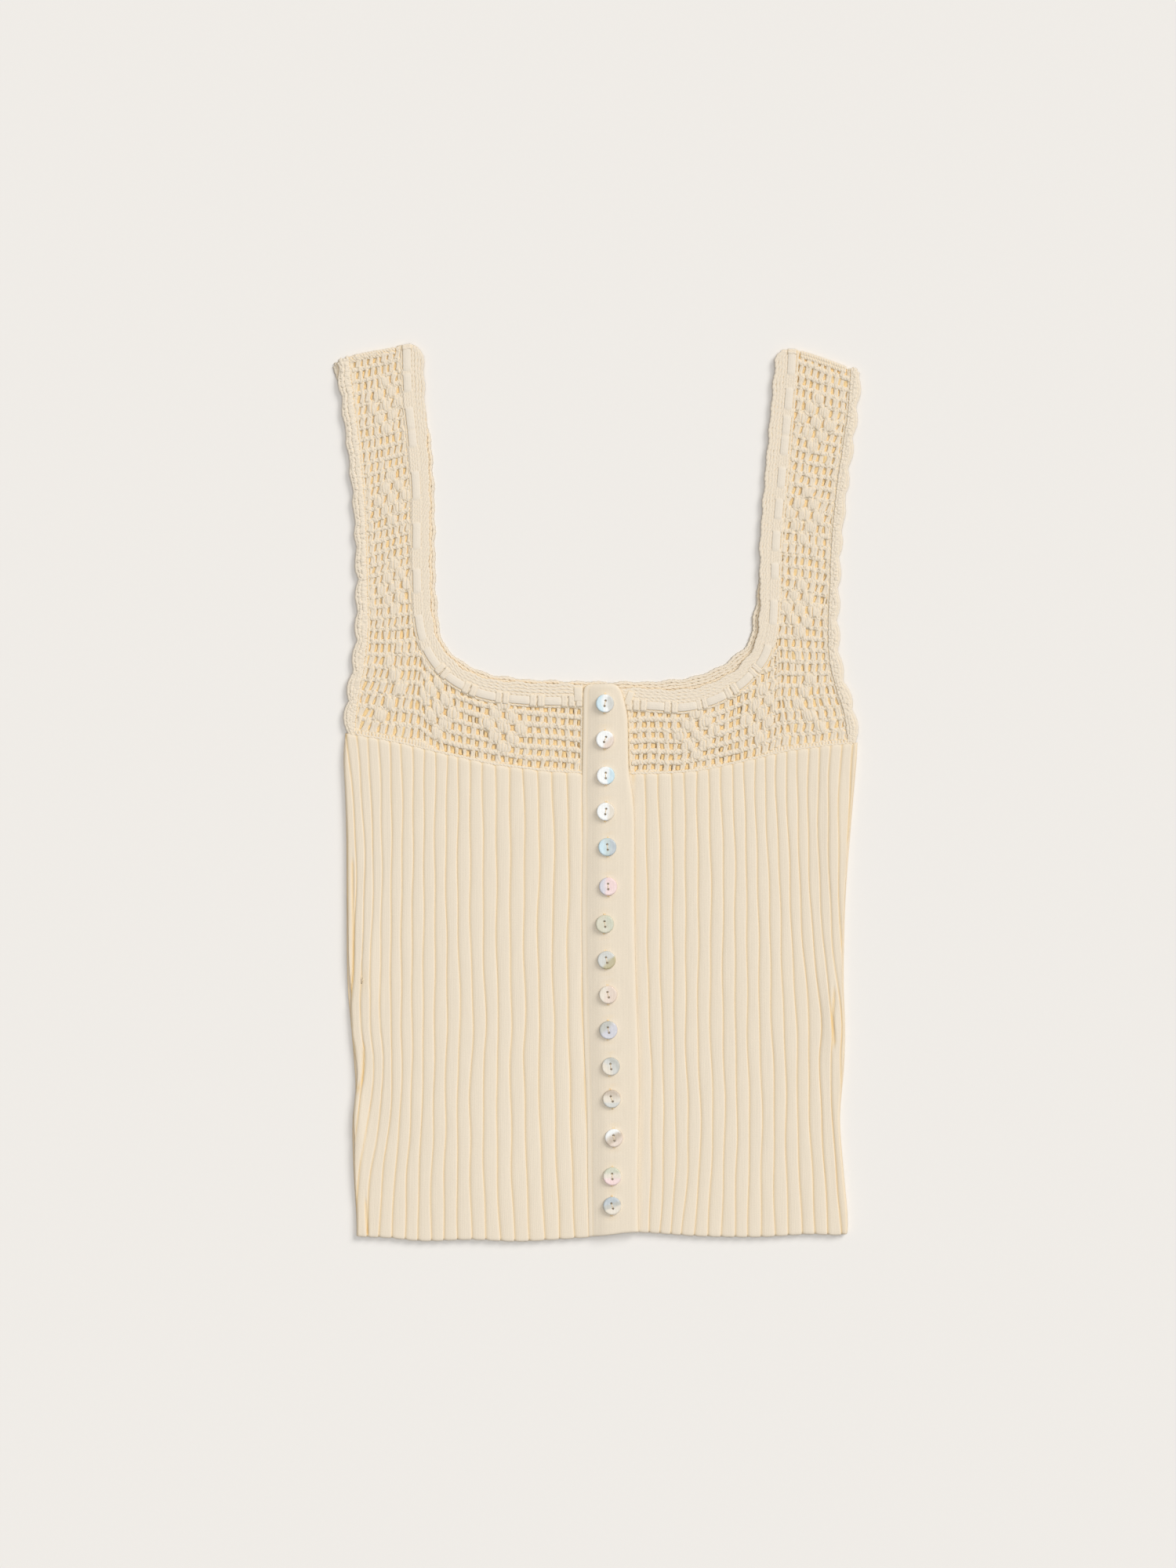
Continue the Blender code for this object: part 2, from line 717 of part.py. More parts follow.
def bridge(solid, lower, upper):
    """Band of faces between two rings of the same count."""
    for a, b, c, d in zip(lower, lower[1:] + lower[:1], upper[1:] + upper[:1], upper):
        solid.faces.new((a, b, c, d))


def button_mesh():
    """Shell button: a disc with a rounded rim, a shallow dish and two holes."""
    solid = bmesh.new()
    radius, dish = BUTTON_DIAMETER / 2, BUTTON_DISH_DIAMETER / 2
    floor = BUTTON_THICKNESS - BUTTON_DISH_DEPTH
    profile = (
        (radius - BUTTON_RIM, 0.0),
        (radius, BUTTON_RIM),
        (radius, BUTTON_THICKNESS - BUTTON_RIM),
        (radius - BUTTON_RIM, BUTTON_THICKNESS),
        (dish, BUTTON_THICKNESS),
        (dish - BUTTON_RIM, floor),
    )
    rings = [circle(solid, r, z, BUTTON_SIDES) for r, z in profile]
    for (lower, _), (upper, _) in zip(rings, rings[1:]):
        bridge(solid, lower, upper)
    bottom_edges, top_edges = list(rings[0][1]), list(rings[-1][1])
    for along in (BUTTON_HOLE_SPACING / 2, -BUTTON_HOLE_SPACING / 2):
        low, low_edges = circle(solid, BUTTON_HOLE_DIAMETER / 2, 0.0, HOLE_SIDES, 0.0, along)
        high, high_edges = circle(solid, BUTTON_HOLE_DIAMETER / 2, floor, HOLE_SIDES, 0.0, along)
        bridge(solid, low, high)
        bottom_edges += low_edges
        top_edges += high_edges
    bmesh.ops.triangle_fill(solid, use_beauty=True, edges=bottom_edges)
    bmesh.ops.triangle_fill(solid, use_beauty=True, edges=top_edges)
    return finished_mesh("button", solid, "shell")


def build_buttons():
    """Fifteen buttons down the band, each turned a little differently."""
    mesh = button_mesh()
    for number, (across, along, turn) in enumerate(BUTTONS, start=1):
        button = add_object(f"button_{number:02d}", mesh)
        button.location = (across * MM, along * MM, BUTTON_LOW * MM)
        button.rotation_euler = (0.0, 0.0, math.radians(turn))


def clear_scene():
    """Start from an empty scene."""
    for existing in list(bpy.data.objects):
        bpy.data.objects.remove(existing, do_unlink=True)


clear_scene()
build_ribs()
build_back_yoke()
build_front_yoke("left", NECK_LEFT, ARMHOLE_LEFT, -1, band_at(seam_at(0.0), 1) - SEAM_GAP)
build_front_yoke("right", NECK_RIGHT, ARMHOLE_RIGHT, 1, UNDER_BAND_YOKE_RIGHT + SEAM_GAP)
build_upper_band()
build_under_band()
build_buttons()
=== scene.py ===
"""Looks of a rib-knit top with a crochet yoke and straps that lies flat on a pale floor.

Places are in millimetres, as in the solids: +Y from the hem to the shoulders, +X to the viewer's
right, and z = 0 on the floor. "across" is X and "along" is Y. Each piece is gathered as numpy
arrays and becomes one mesh.
"""

import math
from types import SimpleNamespace

import bmesh
import bpy
import numpy as np
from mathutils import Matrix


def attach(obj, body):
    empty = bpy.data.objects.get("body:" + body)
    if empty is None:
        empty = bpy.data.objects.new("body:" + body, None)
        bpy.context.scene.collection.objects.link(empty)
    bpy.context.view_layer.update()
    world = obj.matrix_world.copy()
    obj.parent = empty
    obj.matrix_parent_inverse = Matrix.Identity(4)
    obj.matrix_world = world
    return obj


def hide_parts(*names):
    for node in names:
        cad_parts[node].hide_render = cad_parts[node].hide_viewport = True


MM = 0.001
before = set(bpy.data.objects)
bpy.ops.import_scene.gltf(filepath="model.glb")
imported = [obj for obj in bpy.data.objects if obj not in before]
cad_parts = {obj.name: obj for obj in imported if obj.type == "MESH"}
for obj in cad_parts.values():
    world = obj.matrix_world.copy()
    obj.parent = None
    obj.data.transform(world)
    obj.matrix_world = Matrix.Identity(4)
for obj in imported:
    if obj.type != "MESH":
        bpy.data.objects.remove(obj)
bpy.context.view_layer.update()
rng = np.random.default_rng(20)

# ---- edges of the garment, the same as in the solids -------------------------------------------

SEAM_GAP = 0.3
STITCHED_GAP = 0.04          # what shows of it where two pieces are stitched together
UNDER_BAND = 1.9             # of the right front's rib under the button band
RIBBON_WIDTH = 5.2

# along, left, right
SIDES = (
    (35.0, -147.4, 153.4), (20.0, -148.6, 152.6), (0.5, -147.6, 150.9), (-27.0, -146.8, 148.6),
    (-64.0, -146.7, 145.9), (-110.0, -146.3, 144.9), (-137.5, -144.0, 145.8),
    (-160.0, -142.2, 145.2), (-174.3, -141.4, 144.0), (-192.7, -143.3, 142.7),
    (-220.3, -142.7, 144.8), (-247.9, -141.0, 147.3), (-262.0, -140.9, 147.0),
)
# across, along
YOKE_SEAM = (
    (-147.4, 35.0), (-130.6, 32.4), (-114.5, 29.2), (-88.3, 22.8), (-59.8, 16.6), (-30.4, 12.9),
    (-8.7, 11.7), (20.2, 11.2), (44.6, 11.7), (61.2, 13.2), (84.6, 18.2), (112.2, 24.8),
    (135.0, 27.8), (153.4, 29.4),
)
HEM = (
    (-141.0, -259.8), (-136.0, -260.4), (-121.0, -261.0), (-101.7, -262.9), (-74.0, -262.0),
    (-46.5, -263.1), (-18.9, -261.6), (3.7, -259.9), (24.4, -257.7), (59.3, -260.0),
    (96.1, -260.5), (123.7, -258.8), (140.0, -259.4), (147.0, -258.6),
)
# across, along, width of the edging
ARMHOLE_LEFT = (
    (-147.2, 36.0, 5.2), (-146.7, 48.0, 5.4), (-145.2, 60.0, 5.6), (-142.4, 76.0, 6.0),
    (-140.6, 97.0, 6.2), (-140.3, 124.7, 5.4), (-141.5, 164.0, 5.4), (-144.9, 198.3, 6.0),
    (-149.3, 232.0, 6.4), (-151.6, 252.0, 6.4), (-152.6, 266.0, 6.4),
)
ARMHOLE_RIGHT = (
    (152.8, 30.6, 5.2), (150.2, 48.8, 5.2), (145.8, 62.6, 5.4), (142.1, 78.7, 5.4),
    (141.0, 97.1, 5.0), (141.4, 120.1, 4.4), (142.8, 147.7, 4.6), (146.3, 179.9, 5.0),
    (150.0, 207.5, 4.6), (152.5, 228.0, 4.4), (154.1, 245.2, 5.0), (155.6, 262.0, 5.0),
)
# across, along, width of the neck border
NECK_LEFT = (
    (-8.0, 63.2, 6.6), (-33.6, 63.6, 6.8), (-54.3, 64.9, 6.4), (-68.1, 67.2, 5.6),
    (-80.5, 73.5, 5.2), (-89.0, 81.4, 4.8), (-94.8, 91.5, 4.2), (-97.8, 106.0, 3.8),
    (-98.9, 135.0, 3.8), (-98.9, 175.0, 3.9), (-100.3, 207.5, 4.8), (-101.6, 235.0, 6.2),
    (-102.3, 268.0, 6.4),
)
NECK_RIGHT = (
    (12.5, 60.7, 6.2), (23.0, 60.6, 6.2), (34.0, 60.0, 6.2), (50.0, 59.6, 6.6), (65.3, 62.8, 6.2),
    (77.7, 68.6, 5.2), (86.0, 75.6, 4.6), (92.3, 84.0, 4.4), (95.8, 98.0, 4.5), (96.6, 117.3, 4.8),
    (96.4, 145.0, 5.8), (99.0, 181.0, 6.2), (102.1, 216.7, 6.4), (104.9, 248.0, 6.4),
    (105.6, 266.0, 6.4),
)
BACK_BORDER = 6.2
NECK_BACK = (
    (-103.6, 266.0), (-102.4, 230.0), (-98.4, 209.0), (-96.2, 180.0), (-95.6, 150.0),
    (-95.0, 118.0), (-91.5, 90.0), (-83.0, 79.3), (-68.1, 70.5), (-43.7, 66.0), (-10.0, 64.6),
    (30.0, 64.4), (53.8, 66.8), (69.0, 71.6), (82.0, 80.2), (89.8, 88.5), (92.5, 102.6),
    (95.2, 121.0), (98.4, 150.0), (102.0, 200.0), (106.6, 264.0),
)
# across, along
SHOULDER_LEFT = (
    (-155.2, 249.2), (-151.4, 252.4), (-141.0, 256.8), (-124.0, 260.0), (-109.0, 262.8),
    (-105.0, 262.0), (-102.2, 257.8),
)
SHOULDER_RIGHT = (
    (105.2, 256.8), (108.4, 259.0), (116.0, 259.8), (128.0, 256.4), (142.0, 251.4), (154.1, 246.4),
)
# along, left edge, right edge of the button band
BAND = (
    (63.9, -2.6, 9.2), (62.6, -6.0, 12.2), (59.4, -7.4, 14.6), (54.0, -7.6, 16.2),
    (43.2, -7.7, 18.2), (15.0, -8.2, 18.8), (0.5, -8.5, 20.9), (-18.0, -8.2, 22.3),
    (-60.0, -8.8, 22.2), (-105.0, -8.4, 22.9), (-150.0, -7.2, 24.6), (-185.0, -5.8, 25.0),
    (-225.0, -5.2, 24.2), (-259.8, -4.6, 24.6),
)
# The back's armhole lies further in, and from CORNER_START on its left strap flares outwards.
BACK_INSET, CORNER_PEEK, CORNER_START, CORNER_LIMIT = 1.0, 5.0, 236.0, 1.3
SCALLOP_PITCH, SCALLOP_HEIGHT = 17.5, 2.8
BAR_SPACING = 4.2            # along the ribbon, of the stitches that cross it
CORNER_RADIUS = 4.6          # of a strap top, on the neck side
BAR_TOP = 74.0               # above this the stitches over the ribbon run along it

# ---- the knit ----------------------------------------------------------------------------------

# Grooves of the rib: along, then the place across of every fourth groove out from the button band.
RIBS_LEFT = (
    (36.0, -8.7, -44.4, -74.2, -101.2, -128.6, -153.2),
    (5.1, -8.7, -43.2, -74.5, -101.2, -127.0, -149.5),
    (-40.9, -7.8, -42.3, -74.5, -101.7, -126.0, -146.3),
    (-86.9, -8.7, -43.2, -74.1, -101.7, -127.0, -147.2),
    (-132.9, -8.3, -41.9, -72.7, -102.1, -127.0, -150.9),
    (-155.9, -7.4, -42.8, -73.6, -102.1, -125.6, -147.2),
    (-178.9, -6.9, -42.3, -74.5, -102.6, -126.5, -151.3),
    (-201.9, -6.0, -41.9, -74.1, -103.0, -129.3, -154.6),
    (-224.9, -5.1, -41.4, -74.5, -104.4, -132.9, -160.5),
    (-262.0, -4.4, -39.4, -73.5, -105.0, -135.0, -162.5),
)
RIBS_RIGHT = (
    (36.0, 20.4, 51.3, 80.0, 105.5, 131.0, 158.0),
    (5.1, 20.7, 51.1, 79.6, 104.9, 129.7, 154.6),
    (-40.9, 21.6, 52.0, 81.0, 106.7, 130.2, 152.7),
    (-86.9, 22.1, 52.0, 81.0, 108.1, 132.5, 153.6),
    (-132.9, 23.9, 52.0, 81.0, 109.5, 138.0, 158.2),
    (-155.9, 24.8, 52.4, 81.4, 110.4, 137.1, 158.2),
    (-178.9, 24.8, 53.4, 82.3, 110.9, 137.5, 159.2),
    (-201.9, 24.8, 53.4, 82.3, 110.9, 138.5, 160.5),
    (-224.9, 24.8, 52.9, 81.4, 111.3, 140.8, 166.1),
    (-262.0, 24.2, 49.6, 80.8, 112.4, 143.6, 172.8),
)
GROOVES_PER_COLUMN = 4
RIB_RELIEF = 0.58            # height of a rib over its groove
RIB_RISE, RIB_FALL = 0.36, 0.12    # parts of a rib's width that slope, on its left and right
WALES_PER_RIB = 8
BAND_WALE = 0.92             # width of one knitted stitch of the button band
COURSE = 0.82                # height of one knitted stitch
# Soft folds of the front ribs: across, along, half width, half length, height.
FOLDS = (
    (-139.5, -196.0, 4.0, 22.0, 1.1), (-134.0, -110.0, 5.0, 30.0, 0.5),
    (137.5, -133.0, 4.5, 26.0, 0.8), (139.0, -20.0, 6.0, 45.0, 0.6),
    (-70.0, -215.0, 26.0, 50.0, 0.4), (75.0, -60.0, 30.0, 70.0, 0.4),
)
SNAG = (-137.2, -110.0)      # a pulled loop in the left front
# Creases of the front ribs: depth, half width, then their points across and along.
CREASES = (
    (0.6, 0.8, (-143.2, -41.0), (-142.8, -80.0), (-143.0, -105.0), (-144.6, -122.8)),
    (0.7, 0.8, (-136.6, -150.0), (-137.2, -167.4), (-138.6, -172.0), (-141.4, -175.0)),
    (0.7, 0.7, (-135.5, -238.0), (-135.2, -250.0), (-134.4, -259.0)),
    (1.0, 0.9, (139.4, -118.0), (138.3, -133.0), (139.6, -147.0)),
)

# ---- the crochet lattice -----------------------------------------------------------------------

# Rows of the straps: row, then the mesh's armhole side, its neck side, its middle, and its slope.
STRAP_ROWS_LEFT = (
    (-1.0, -146.8, -107.2, 29.4, -0.17), (0.0, -145.2, -106.9, 37.5, -0.15),
    (2.0, -140.9, -106.3, 53.4, -0.10), (4.0, -136.0, -104.3, 69.5, -0.05),
    (8.0, -135.3, -105.5, 100.3, 0.09),
    (11.0, -135.2, -105.5, 120.2, 0.20), (15.0, -136.0, -106.2, 146.4, 0.29),
    (19.0, -137.1, -106.9, 172.4, 0.30), (23.0, -139.0, -108.7, 199.8, 0.27),
    (27.0, -141.2, -111.0, 227.2, 0.25), (31.5, -143.6, -112.9, 258.1, 0.21),
)
STRAP_ROWS_RIGHT = (
    (-1.0, 149.2, 110.9, 25.2, 0.12), (0.0, 148.1, 110.3, 32.1, 0.10),
    (2.0, 146.0, 109.0, 45.7, 0.07), (4.0, 141.7, 106.6, 59.5, 0.03),
    (8.0, 138.5, 104.9, 87.4, -0.05),
    (11.0, 138.2, 105.1, 107.6, -0.14), (15.0, 139.4, 106.2, 135.1, -0.16),
    (19.0, 140.5, 107.4, 162.4, -0.17), (23.0, 143.7, 110.6, 189.7, -0.20),
    (27.0, 147.0, 113.9, 217.1, -0.25), (32.5, 148.8, 117.5, 254.8, -0.36),
)
STRAP_COLUMNS = 8
# Columns of the yoke: column, place across on the left, then for each side the depth of the solid
# first row over the seam and the pitch of the rows.
YOKE_COLUMNS = (
    (-2.0, -152.4, 3.2, 8.3, 2.3, 7.1), (0.0, -142.8, 3.2, 8.3, 2.3, 7.1),
    (4.0, -122.8, 3.2, 8.3, 2.3, 7.1), (8.0, -105.1, 3.2, 8.3, 2.3, 7.1),
    (9.5, -99.3, 1.8, 7.6, 1.4, 7.05), (11.4, -91.4, 0.2, 7.13, 0.3, 7.0),
    (14.0, -79.6, 0.2, 6.8, 0.0, 6.7), (16.0, -69.9, 0.2, 6.6, 0.0, 6.3),
    (19.0, -54.9, 0.2, 6.53, 0.0, 6.1), (22.0, -39.4, 0.2, 6.53, 0.0, 6.2),
    (24.0, -29.3, 0.2, 6.53, 0.0, 6.3), (26.0, -19.4, 0.2, 6.53, 0.0, 6.3),
    (28.0, -9.6, 0.2, 6.53, 0.0, 6.3), (32.0, 10.6, 0.2, 6.53, 0.0, 6.3),
)
MIRROR = 1.84                # the right yoke mirrors the left one about this place across
BLEND_COLUMNS = (6.5, 9.5)   # the strap's rows turn into the yoke's between these columns
BLEND_ROWS = (7.5, 10.5)     # and not above these rows

# Puff motifs: column, row of the middle of a diamond of nine puffs.
DIAMONDS = ((4, 11), (4, 19), (4, 27), (11, 3), (19, 3))
# A chevron of single puffs beside the armhole.
CHEVRON = ((3, 1), (4, 2), (5, 3), (4, 4), (3, 5))

# Where the ribbon lies on top: across, along, length.
RIBBON_OVER_LEFT = (
    (-25.8, 54.0, 9.2), (-45.3, 55.0, 11.5), (-64.6, 57.7, 11.0), (-82.1, 66.7, 10.8),
    (-96.1, 80.3, 12.4), (-103.5, 97.0, 14.6), (-104.9, 123.7, 13.8), (-105.2, 150.4, 15.0),
    (-105.6, 180.0, 16.4), (-106.2, 207.2, 9.8), (-107.6, 220.0, 12.6), (-109.2, 240.4, 10.4),
    (-110.8, 254.8, 14.2),
)
RIBBON_OVER_RIGHT = (
    (34.3, 50.7, 9.7), (52.7, 50.0, 10.6), (69.7, 55.0, 11.2), (85.3, 66.5, 10.4),
    (98.6, 79.6, 13.4), (103.3, 105.6, 14.3), (104.6, 129.7, 9.0), (106.3, 147.7, 11.6),
    (107.2, 166.1, 11.8), (108.1, 184.5, 11.8), (109.3, 203.3, 11.0), (111.1, 216.2, 10.6),
    (112.0, 230.7, 12.4), (113.6, 252.1, 13.6),
)

# ---- the buttons -------------------------------------------------------------------------------

BUTTON_RADIUS, BUTTON_THICKNESS, BUTTON_LOW = 5.3, 1.9, 5.95
BUTTON_DISH = 3.8
HOLE_RADIUS, HOLE_SPACING = 0.62, 3.2
BUTTON_SIDES = 48
# Turned outline of the disc from its underside up: radius, height.
BUTTON_PROFILE = (
    (BUTTON_RADIUS - 0.5, 0.0), (BUTTON_RADIUS - 0.12, 0.18), (BUTTON_RADIUS, 0.6),
    (BUTTON_RADIUS, 1.25), (BUTTON_RADIUS - 0.12, 1.62), (BUTTON_RADIUS - 0.40, 1.84),
    (BUTTON_RADIUS - 0.8, BUTTON_THICKNESS), (BUTTON_DISH + 0.3, 1.89), (BUTTON_DISH, 1.86),
    (BUTTON_DISH - 0.4, 1.81), (BUTTON_DISH - 0.9, 1.78),
)
HOLE_PROFILE = (
    (HOLE_RADIUS, 0.0), (HOLE_RADIUS, 1.58), (HOLE_RADIUS + 0.08, 1.74), (HOLE_RADIUS + 0.2, 1.78),
)
# Painted shade on the walls of the buttons' holes.
HOLE_SHADE_HUE = (0.16, 0.10, 0.06)
# Hues of the shell.
SHELL = {
    "white": (0.86, 0.87, 0.86), "ice": (0.52, 0.70, 0.78), "teal": (0.46, 0.56, 0.55),
    "silver": (0.56, 0.56, 0.52), "lavender": (0.55, 0.54, 0.60), "pink": (0.83, 0.60, 0.58),
    "cream": (0.72, 0.64, 0.52), "green": (0.52, 0.53, 0.38), "olive": (0.42, 0.35, 0.15),
    "tan": (0.48, 0.37, 0.26), "peach": (0.72, 0.57, 0.46), "grey": (0.42, 0.42, 0.37),
    "yellow": (0.58, 0.55, 0.40), "blue": (0.40, 0.46, 0.50),
}
# across, along, turn of the holes, then three hues and the way in which they follow each other
# The hues are partly the shell's own colour and partly its pearly sheen and highlights, painted in.
BUTTONS = (
    (4.9, 52.3, -11.0, "ice", "white", "silver", 0.0),
    (4.9, 31.1, -22.0, "white", "white", "peach", -40.0),
    (5.3, 10.0, 0.0, "white", "white", "ice", 0.0),
    (5.3, -11.1, -9.5, "white", "white", "cream", 0.0),
    (6.3, -31.9, 6.0, "ice", "teal", "blue", 0.0),
    (6.7, -55.0, 2.5, "lavender", "pink", "pink", -10.0),
    (4.8, -77.0, 9.0, "yellow", "yellow", "green", 10.0),
    (5.8, -98.1, 11.6, "silver", "silver", "olive", -50.0),
    (6.7, -118.4, 14.0, "cream", "peach", "peach", 0.0),
    (6.9, -139.1, 13.0, "grey", "lavender", "lavender", -45.0),
    (8.3, -160.4, 9.0, "cream", "silver", "grey", 40.0),
    (8.8, -179.4, 21.0, "tan", "cream", "silver", -90.0),
    (10.1, -202.3, 10.0, "white", "tan", "peach", -60.0),
    (9.1, -224.8, 3.0, "green", "cream", "pink", -90.0),
    (9.1, -242.1, 17.0, "blue", "grey", "cream", -70.0),
)


# ---- curves ------------------------------------------------------------------------------------

def catmull_rom(p0, p1, p2, p3, t):
    """Place at share t of the way from the second to the third of four points of a curve."""
    return 0.5 * (2 * p1 + (p2 - p0) * t + (2 * p0 - 5 * p1 + 4 * p2 - p3) * t ** 2
                  + (3 * p1 - p0 - 3 * p2 + p3) * t ** 3)


def smooth(rows, steps=3):
    """Curve through the rows of a table, with every column carried along, as an array."""
    rows = np.array(rows, float)
    padded = np.vstack((2 * rows[0] - rows[1], rows, 2 * rows[-1] - rows[-2]))
    t = (np.arange(steps) / steps)[:, None]
    parts = [catmull_rom(*points, t) for points in zip(padded, padded[1:], padded[2:], padded[3:])]
    return np.vstack(parts + [rows[-1:]])


def step_up(value, low, high):
    """0 below low, 1 above high, smooth between."""
    t = np.clip((value - low) / (high - low), 0.0, 1.0)
    return t * t * (3 - 2 * t)


def rounded(distance, radius):
    """0 at an edge, rising on a quarter circle to 1."""
    reach = np.clip((radius - distance) / radius, 0.0, 1.0)
    return np.sqrt(1 - reach ** 2)


def bell(distance, width, other=0.0, other_width=1.0):
    """1 at no distance, falling off like a bell, in one direction or in two."""
    return np.exp(-(distance / width) ** 2 - (other / other_width) ** 2)


def between(a, b, share):
    """Value at a share of the way from a to b."""
    return a + (b - a) * share


def looked_up(key, table, column=1):
    """Value in a column of a table whose first column rises."""
    return np.interp(key, table[:, 0], table[:, column])


def rows_at(curve, keys, wanted):
    """Rows of a curve where its keys, which rise from row to row, have the wanted values."""
    return np.stack([np.interp(wanted, keys, column) for column in curve.T], axis=1)


def normals(curve):
    """Unit vectors to the right of a plan curve."""
    way = np.gradient(curve[:, :2], axis=0)
    way = way / np.linalg.norm(way, axis=1)[:, None]
    return np.stack((way[:, 1], -way[:, 0]), axis=1)


def shifted(curve, side, amount):
    """Parallel curve; side +1 is to the right of its way."""
    moved = curve.copy()
    moved[:, :2] += normals(curve) * (side * np.broadcast_to(amount, len(curve)))[:, None]
    return moved


def run_of(curve):
    """Distance along a curve to each of its points."""
    steps = np.linalg.norm(np.diff(curve[:, :2], axis=0), axis=1)
    return np.concatenate(([0.0], np.cumsum(steps)))


def even(curve, spacing):
    """The curve with its points at even distances."""
    run = run_of(curve)
    return rows_at(curve, run, np.linspace(0.0, run[-1], max(2, round(run[-1] / spacing) + 1)))


def polygon_area(points):
    """Area in square metres of a polygon whose corners are in millimetres."""
    x, y = points[:, 0], points[:, 1]
    return abs(np.sum(x * np.roll(y, -1) - y * np.roll(x, -1))) / 2 * MM ** 2


def inside(polygon, x, y):
    """Whether plan points lie in a polygon."""
    x1, y1 = polygon[:, 0], polygon[:, 1]
    x2, y2 = np.roll(x1, -1), np.roll(y1, -1)
    x, y = x[..., None], y[..., None]
    rise = np.where(y2 == y1, 1e-9, y2 - y1)
    hits = ((y1 > y) != (y2 > y)) & (x < (x2 - x1) * (y - y1) / rise + x1)
    return hits.sum(axis=-1) % 2 == 1


def half_of(outline, middle, sign):
    """The part of a polygon on one side of a place across; the sign is -1 for the left."""
    result = []
    for a, b in zip(outline, np.roll(outline, -1, axis=0)):
        a_in, b_in = sign * (a[0] - middle) >= 0, sign * (b[0] - middle) >= 0
        if a_in:
            result.append((a[0], a[1]))
        if a_in != b_in:
            t = (middle - a[0]) / (b[0] - a[0])
            result.append((middle, a[1] + (b[1] - a[1]) * t))
    return np.array(result)


# ---- halves and layers -------------------------------------------------------------------------

# "sign" is -1 on the left, "edge" the half's column in SIDES and BAND, "depth" its first one in
# YOKE_COLUMNS, "ribbon_end" the low end, high end and width of the ribbon's turned-up end,
# "yoke_end" where the yoke ends beside the button band, and "rib_inset" how far the rib stops
# short of the band's edge.
LEFT = SimpleNamespace(
    label="left", sign=-1, edge=1, depth=2, neck=NECK_LEFT, armhole=ARMHOLE_LEFT,
    fold=smooth(SHOULDER_LEFT), strap=smooth(STRAP_ROWS_LEFT, 6),
    grooves=smooth(RIBS_LEFT, 6)[::-1], overs=RIBBON_OVER_LEFT,
    ribbon_end=((-10.8, 53.4), (-10.9, 62.2), 5.2), yoke_end=-8.4, rib_inset=STITCHED_GAP,
    peek=CORNER_PEEK,
)
RIGHT = SimpleNamespace(
    label="right", sign=1, edge=2, depth=4, neck=NECK_RIGHT, armhole=ARMHOLE_RIGHT,
    fold=smooth(SHOULDER_RIGHT), strap=smooth(STRAP_ROWS_RIGHT, 6),
    grooves=smooth(RIBS_RIGHT, 6)[::-1], overs=RIBBON_OVER_RIGHT,
    ribbon_end=((17.2, 51.2), (20.6, 59.4), 4.2), yoke_end=12.3, rib_inset=UNDER_BAND, peek=0.0,
)

MIDDLE = 1.95                # height of the plane between the front and the back
CLEAR = 0.03                 # from that plane to the rib knit
FRONT_LOW, FRONT_TOP = 2.15, 4.02
BACK_HIGH = 1.8

# The back's crochet shows little and is plainer. "mesh" is the height of its middle, "stations"
# and "sides" count the points along a strand and around it, and "points" those in a wave of a
# braid. "turns" is how often the yarns of a row cross, and "loops" and "bulge" shape a puff. "low"
# and "high" bound the solid base of a trim, and "top" is the height of the yarn on it.
FRONT = SimpleNamespace(
    where="front", mesh=2.5, squash=0.40, stations=6, sides=6, points=6,
    turns=2, loops=5, bulge=0.35,
    seam=SimpleNamespace(lift=0.35, reach=1.1, braid=0.25), fold_heights=(2.5, 2.5),
    edging=SimpleNamespace(low=2.3, high=3.4, top=3.05, radius=1.3, skip=1),
    border=SimpleNamespace(low=2.3, high=3.2, top=3.1, points=8),
    tape=SimpleNamespace(low=3.0, rise=0.38, braid=3.15, points=7, bar=3.2, arch=0.15),
)
BACK = SimpleNamespace(
    where="back", mesh=1.4, squash=0.6, stations=4, sides=4, points=4,
    turns=1, loops=4, bulge=0.0,
    seam=SimpleNamespace(lift=0.0, reach=-0.2, braid=-0.1), fold_heights=(1.2, 1.4),
    edging=SimpleNamespace(low=0.35, high=1.2, top=0.85, radius=1.1, skip=2),
    border=SimpleNamespace(low=0.35, high=1.05, top=1.0, points=5),
    tape=SimpleNamespace(low=0.75, rise=-0.1, braid=0.45, points=5, bar=0.45, arch=0.0),
)

SEAM_CURVE = np.array(YOKE_SEAM)
HEM_CURVE = smooth(HEM)
BAND_CURVE = smooth(BAND)[::-1]
SIDE_CURVE = smooth(SIDES)[::-1]
COLUMNS = smooth(YOKE_COLUMNS, 4)


def seam_at(across):
    """Place along of the seam between the rib and the yoke."""
    return looked_up(across, SEAM_CURVE)


def hem_at(across):
    """Place along of the hem."""
    return looked_up(across, HEM_CURVE)


def band_at(along, edge):
    """Place across of the button band's left (1) or right (2) edge."""
    return looked_up(along, BAND_CURVE, edge)


def side_at(along, edge):
    """Place across of the left (1) or right (2) side of the body."""
    return looked_up(along, SIDE_CURVE, edge)


def cut_index(curve, half):
    """Where a rising curve meets the shoulder fold, as a fractional index."""
    over = curve[:, 1] - looked_up(curve[:, 0], half.fold)
    if not (over > 0).any():
        return len(curve) - 1.0
    first = int(np.argmax(over > 0))
    return first - 1 + over[first - 1] / (over[first - 1] - over[first])


def cut_at_fold(curve, half):
    """The part of a rising curve below the shoulder fold."""
    end = cut_index(curve, half)
    return rows_at(curve, np.arange(len(curve)), np.append(np.arange(math.ceil(end)), end))


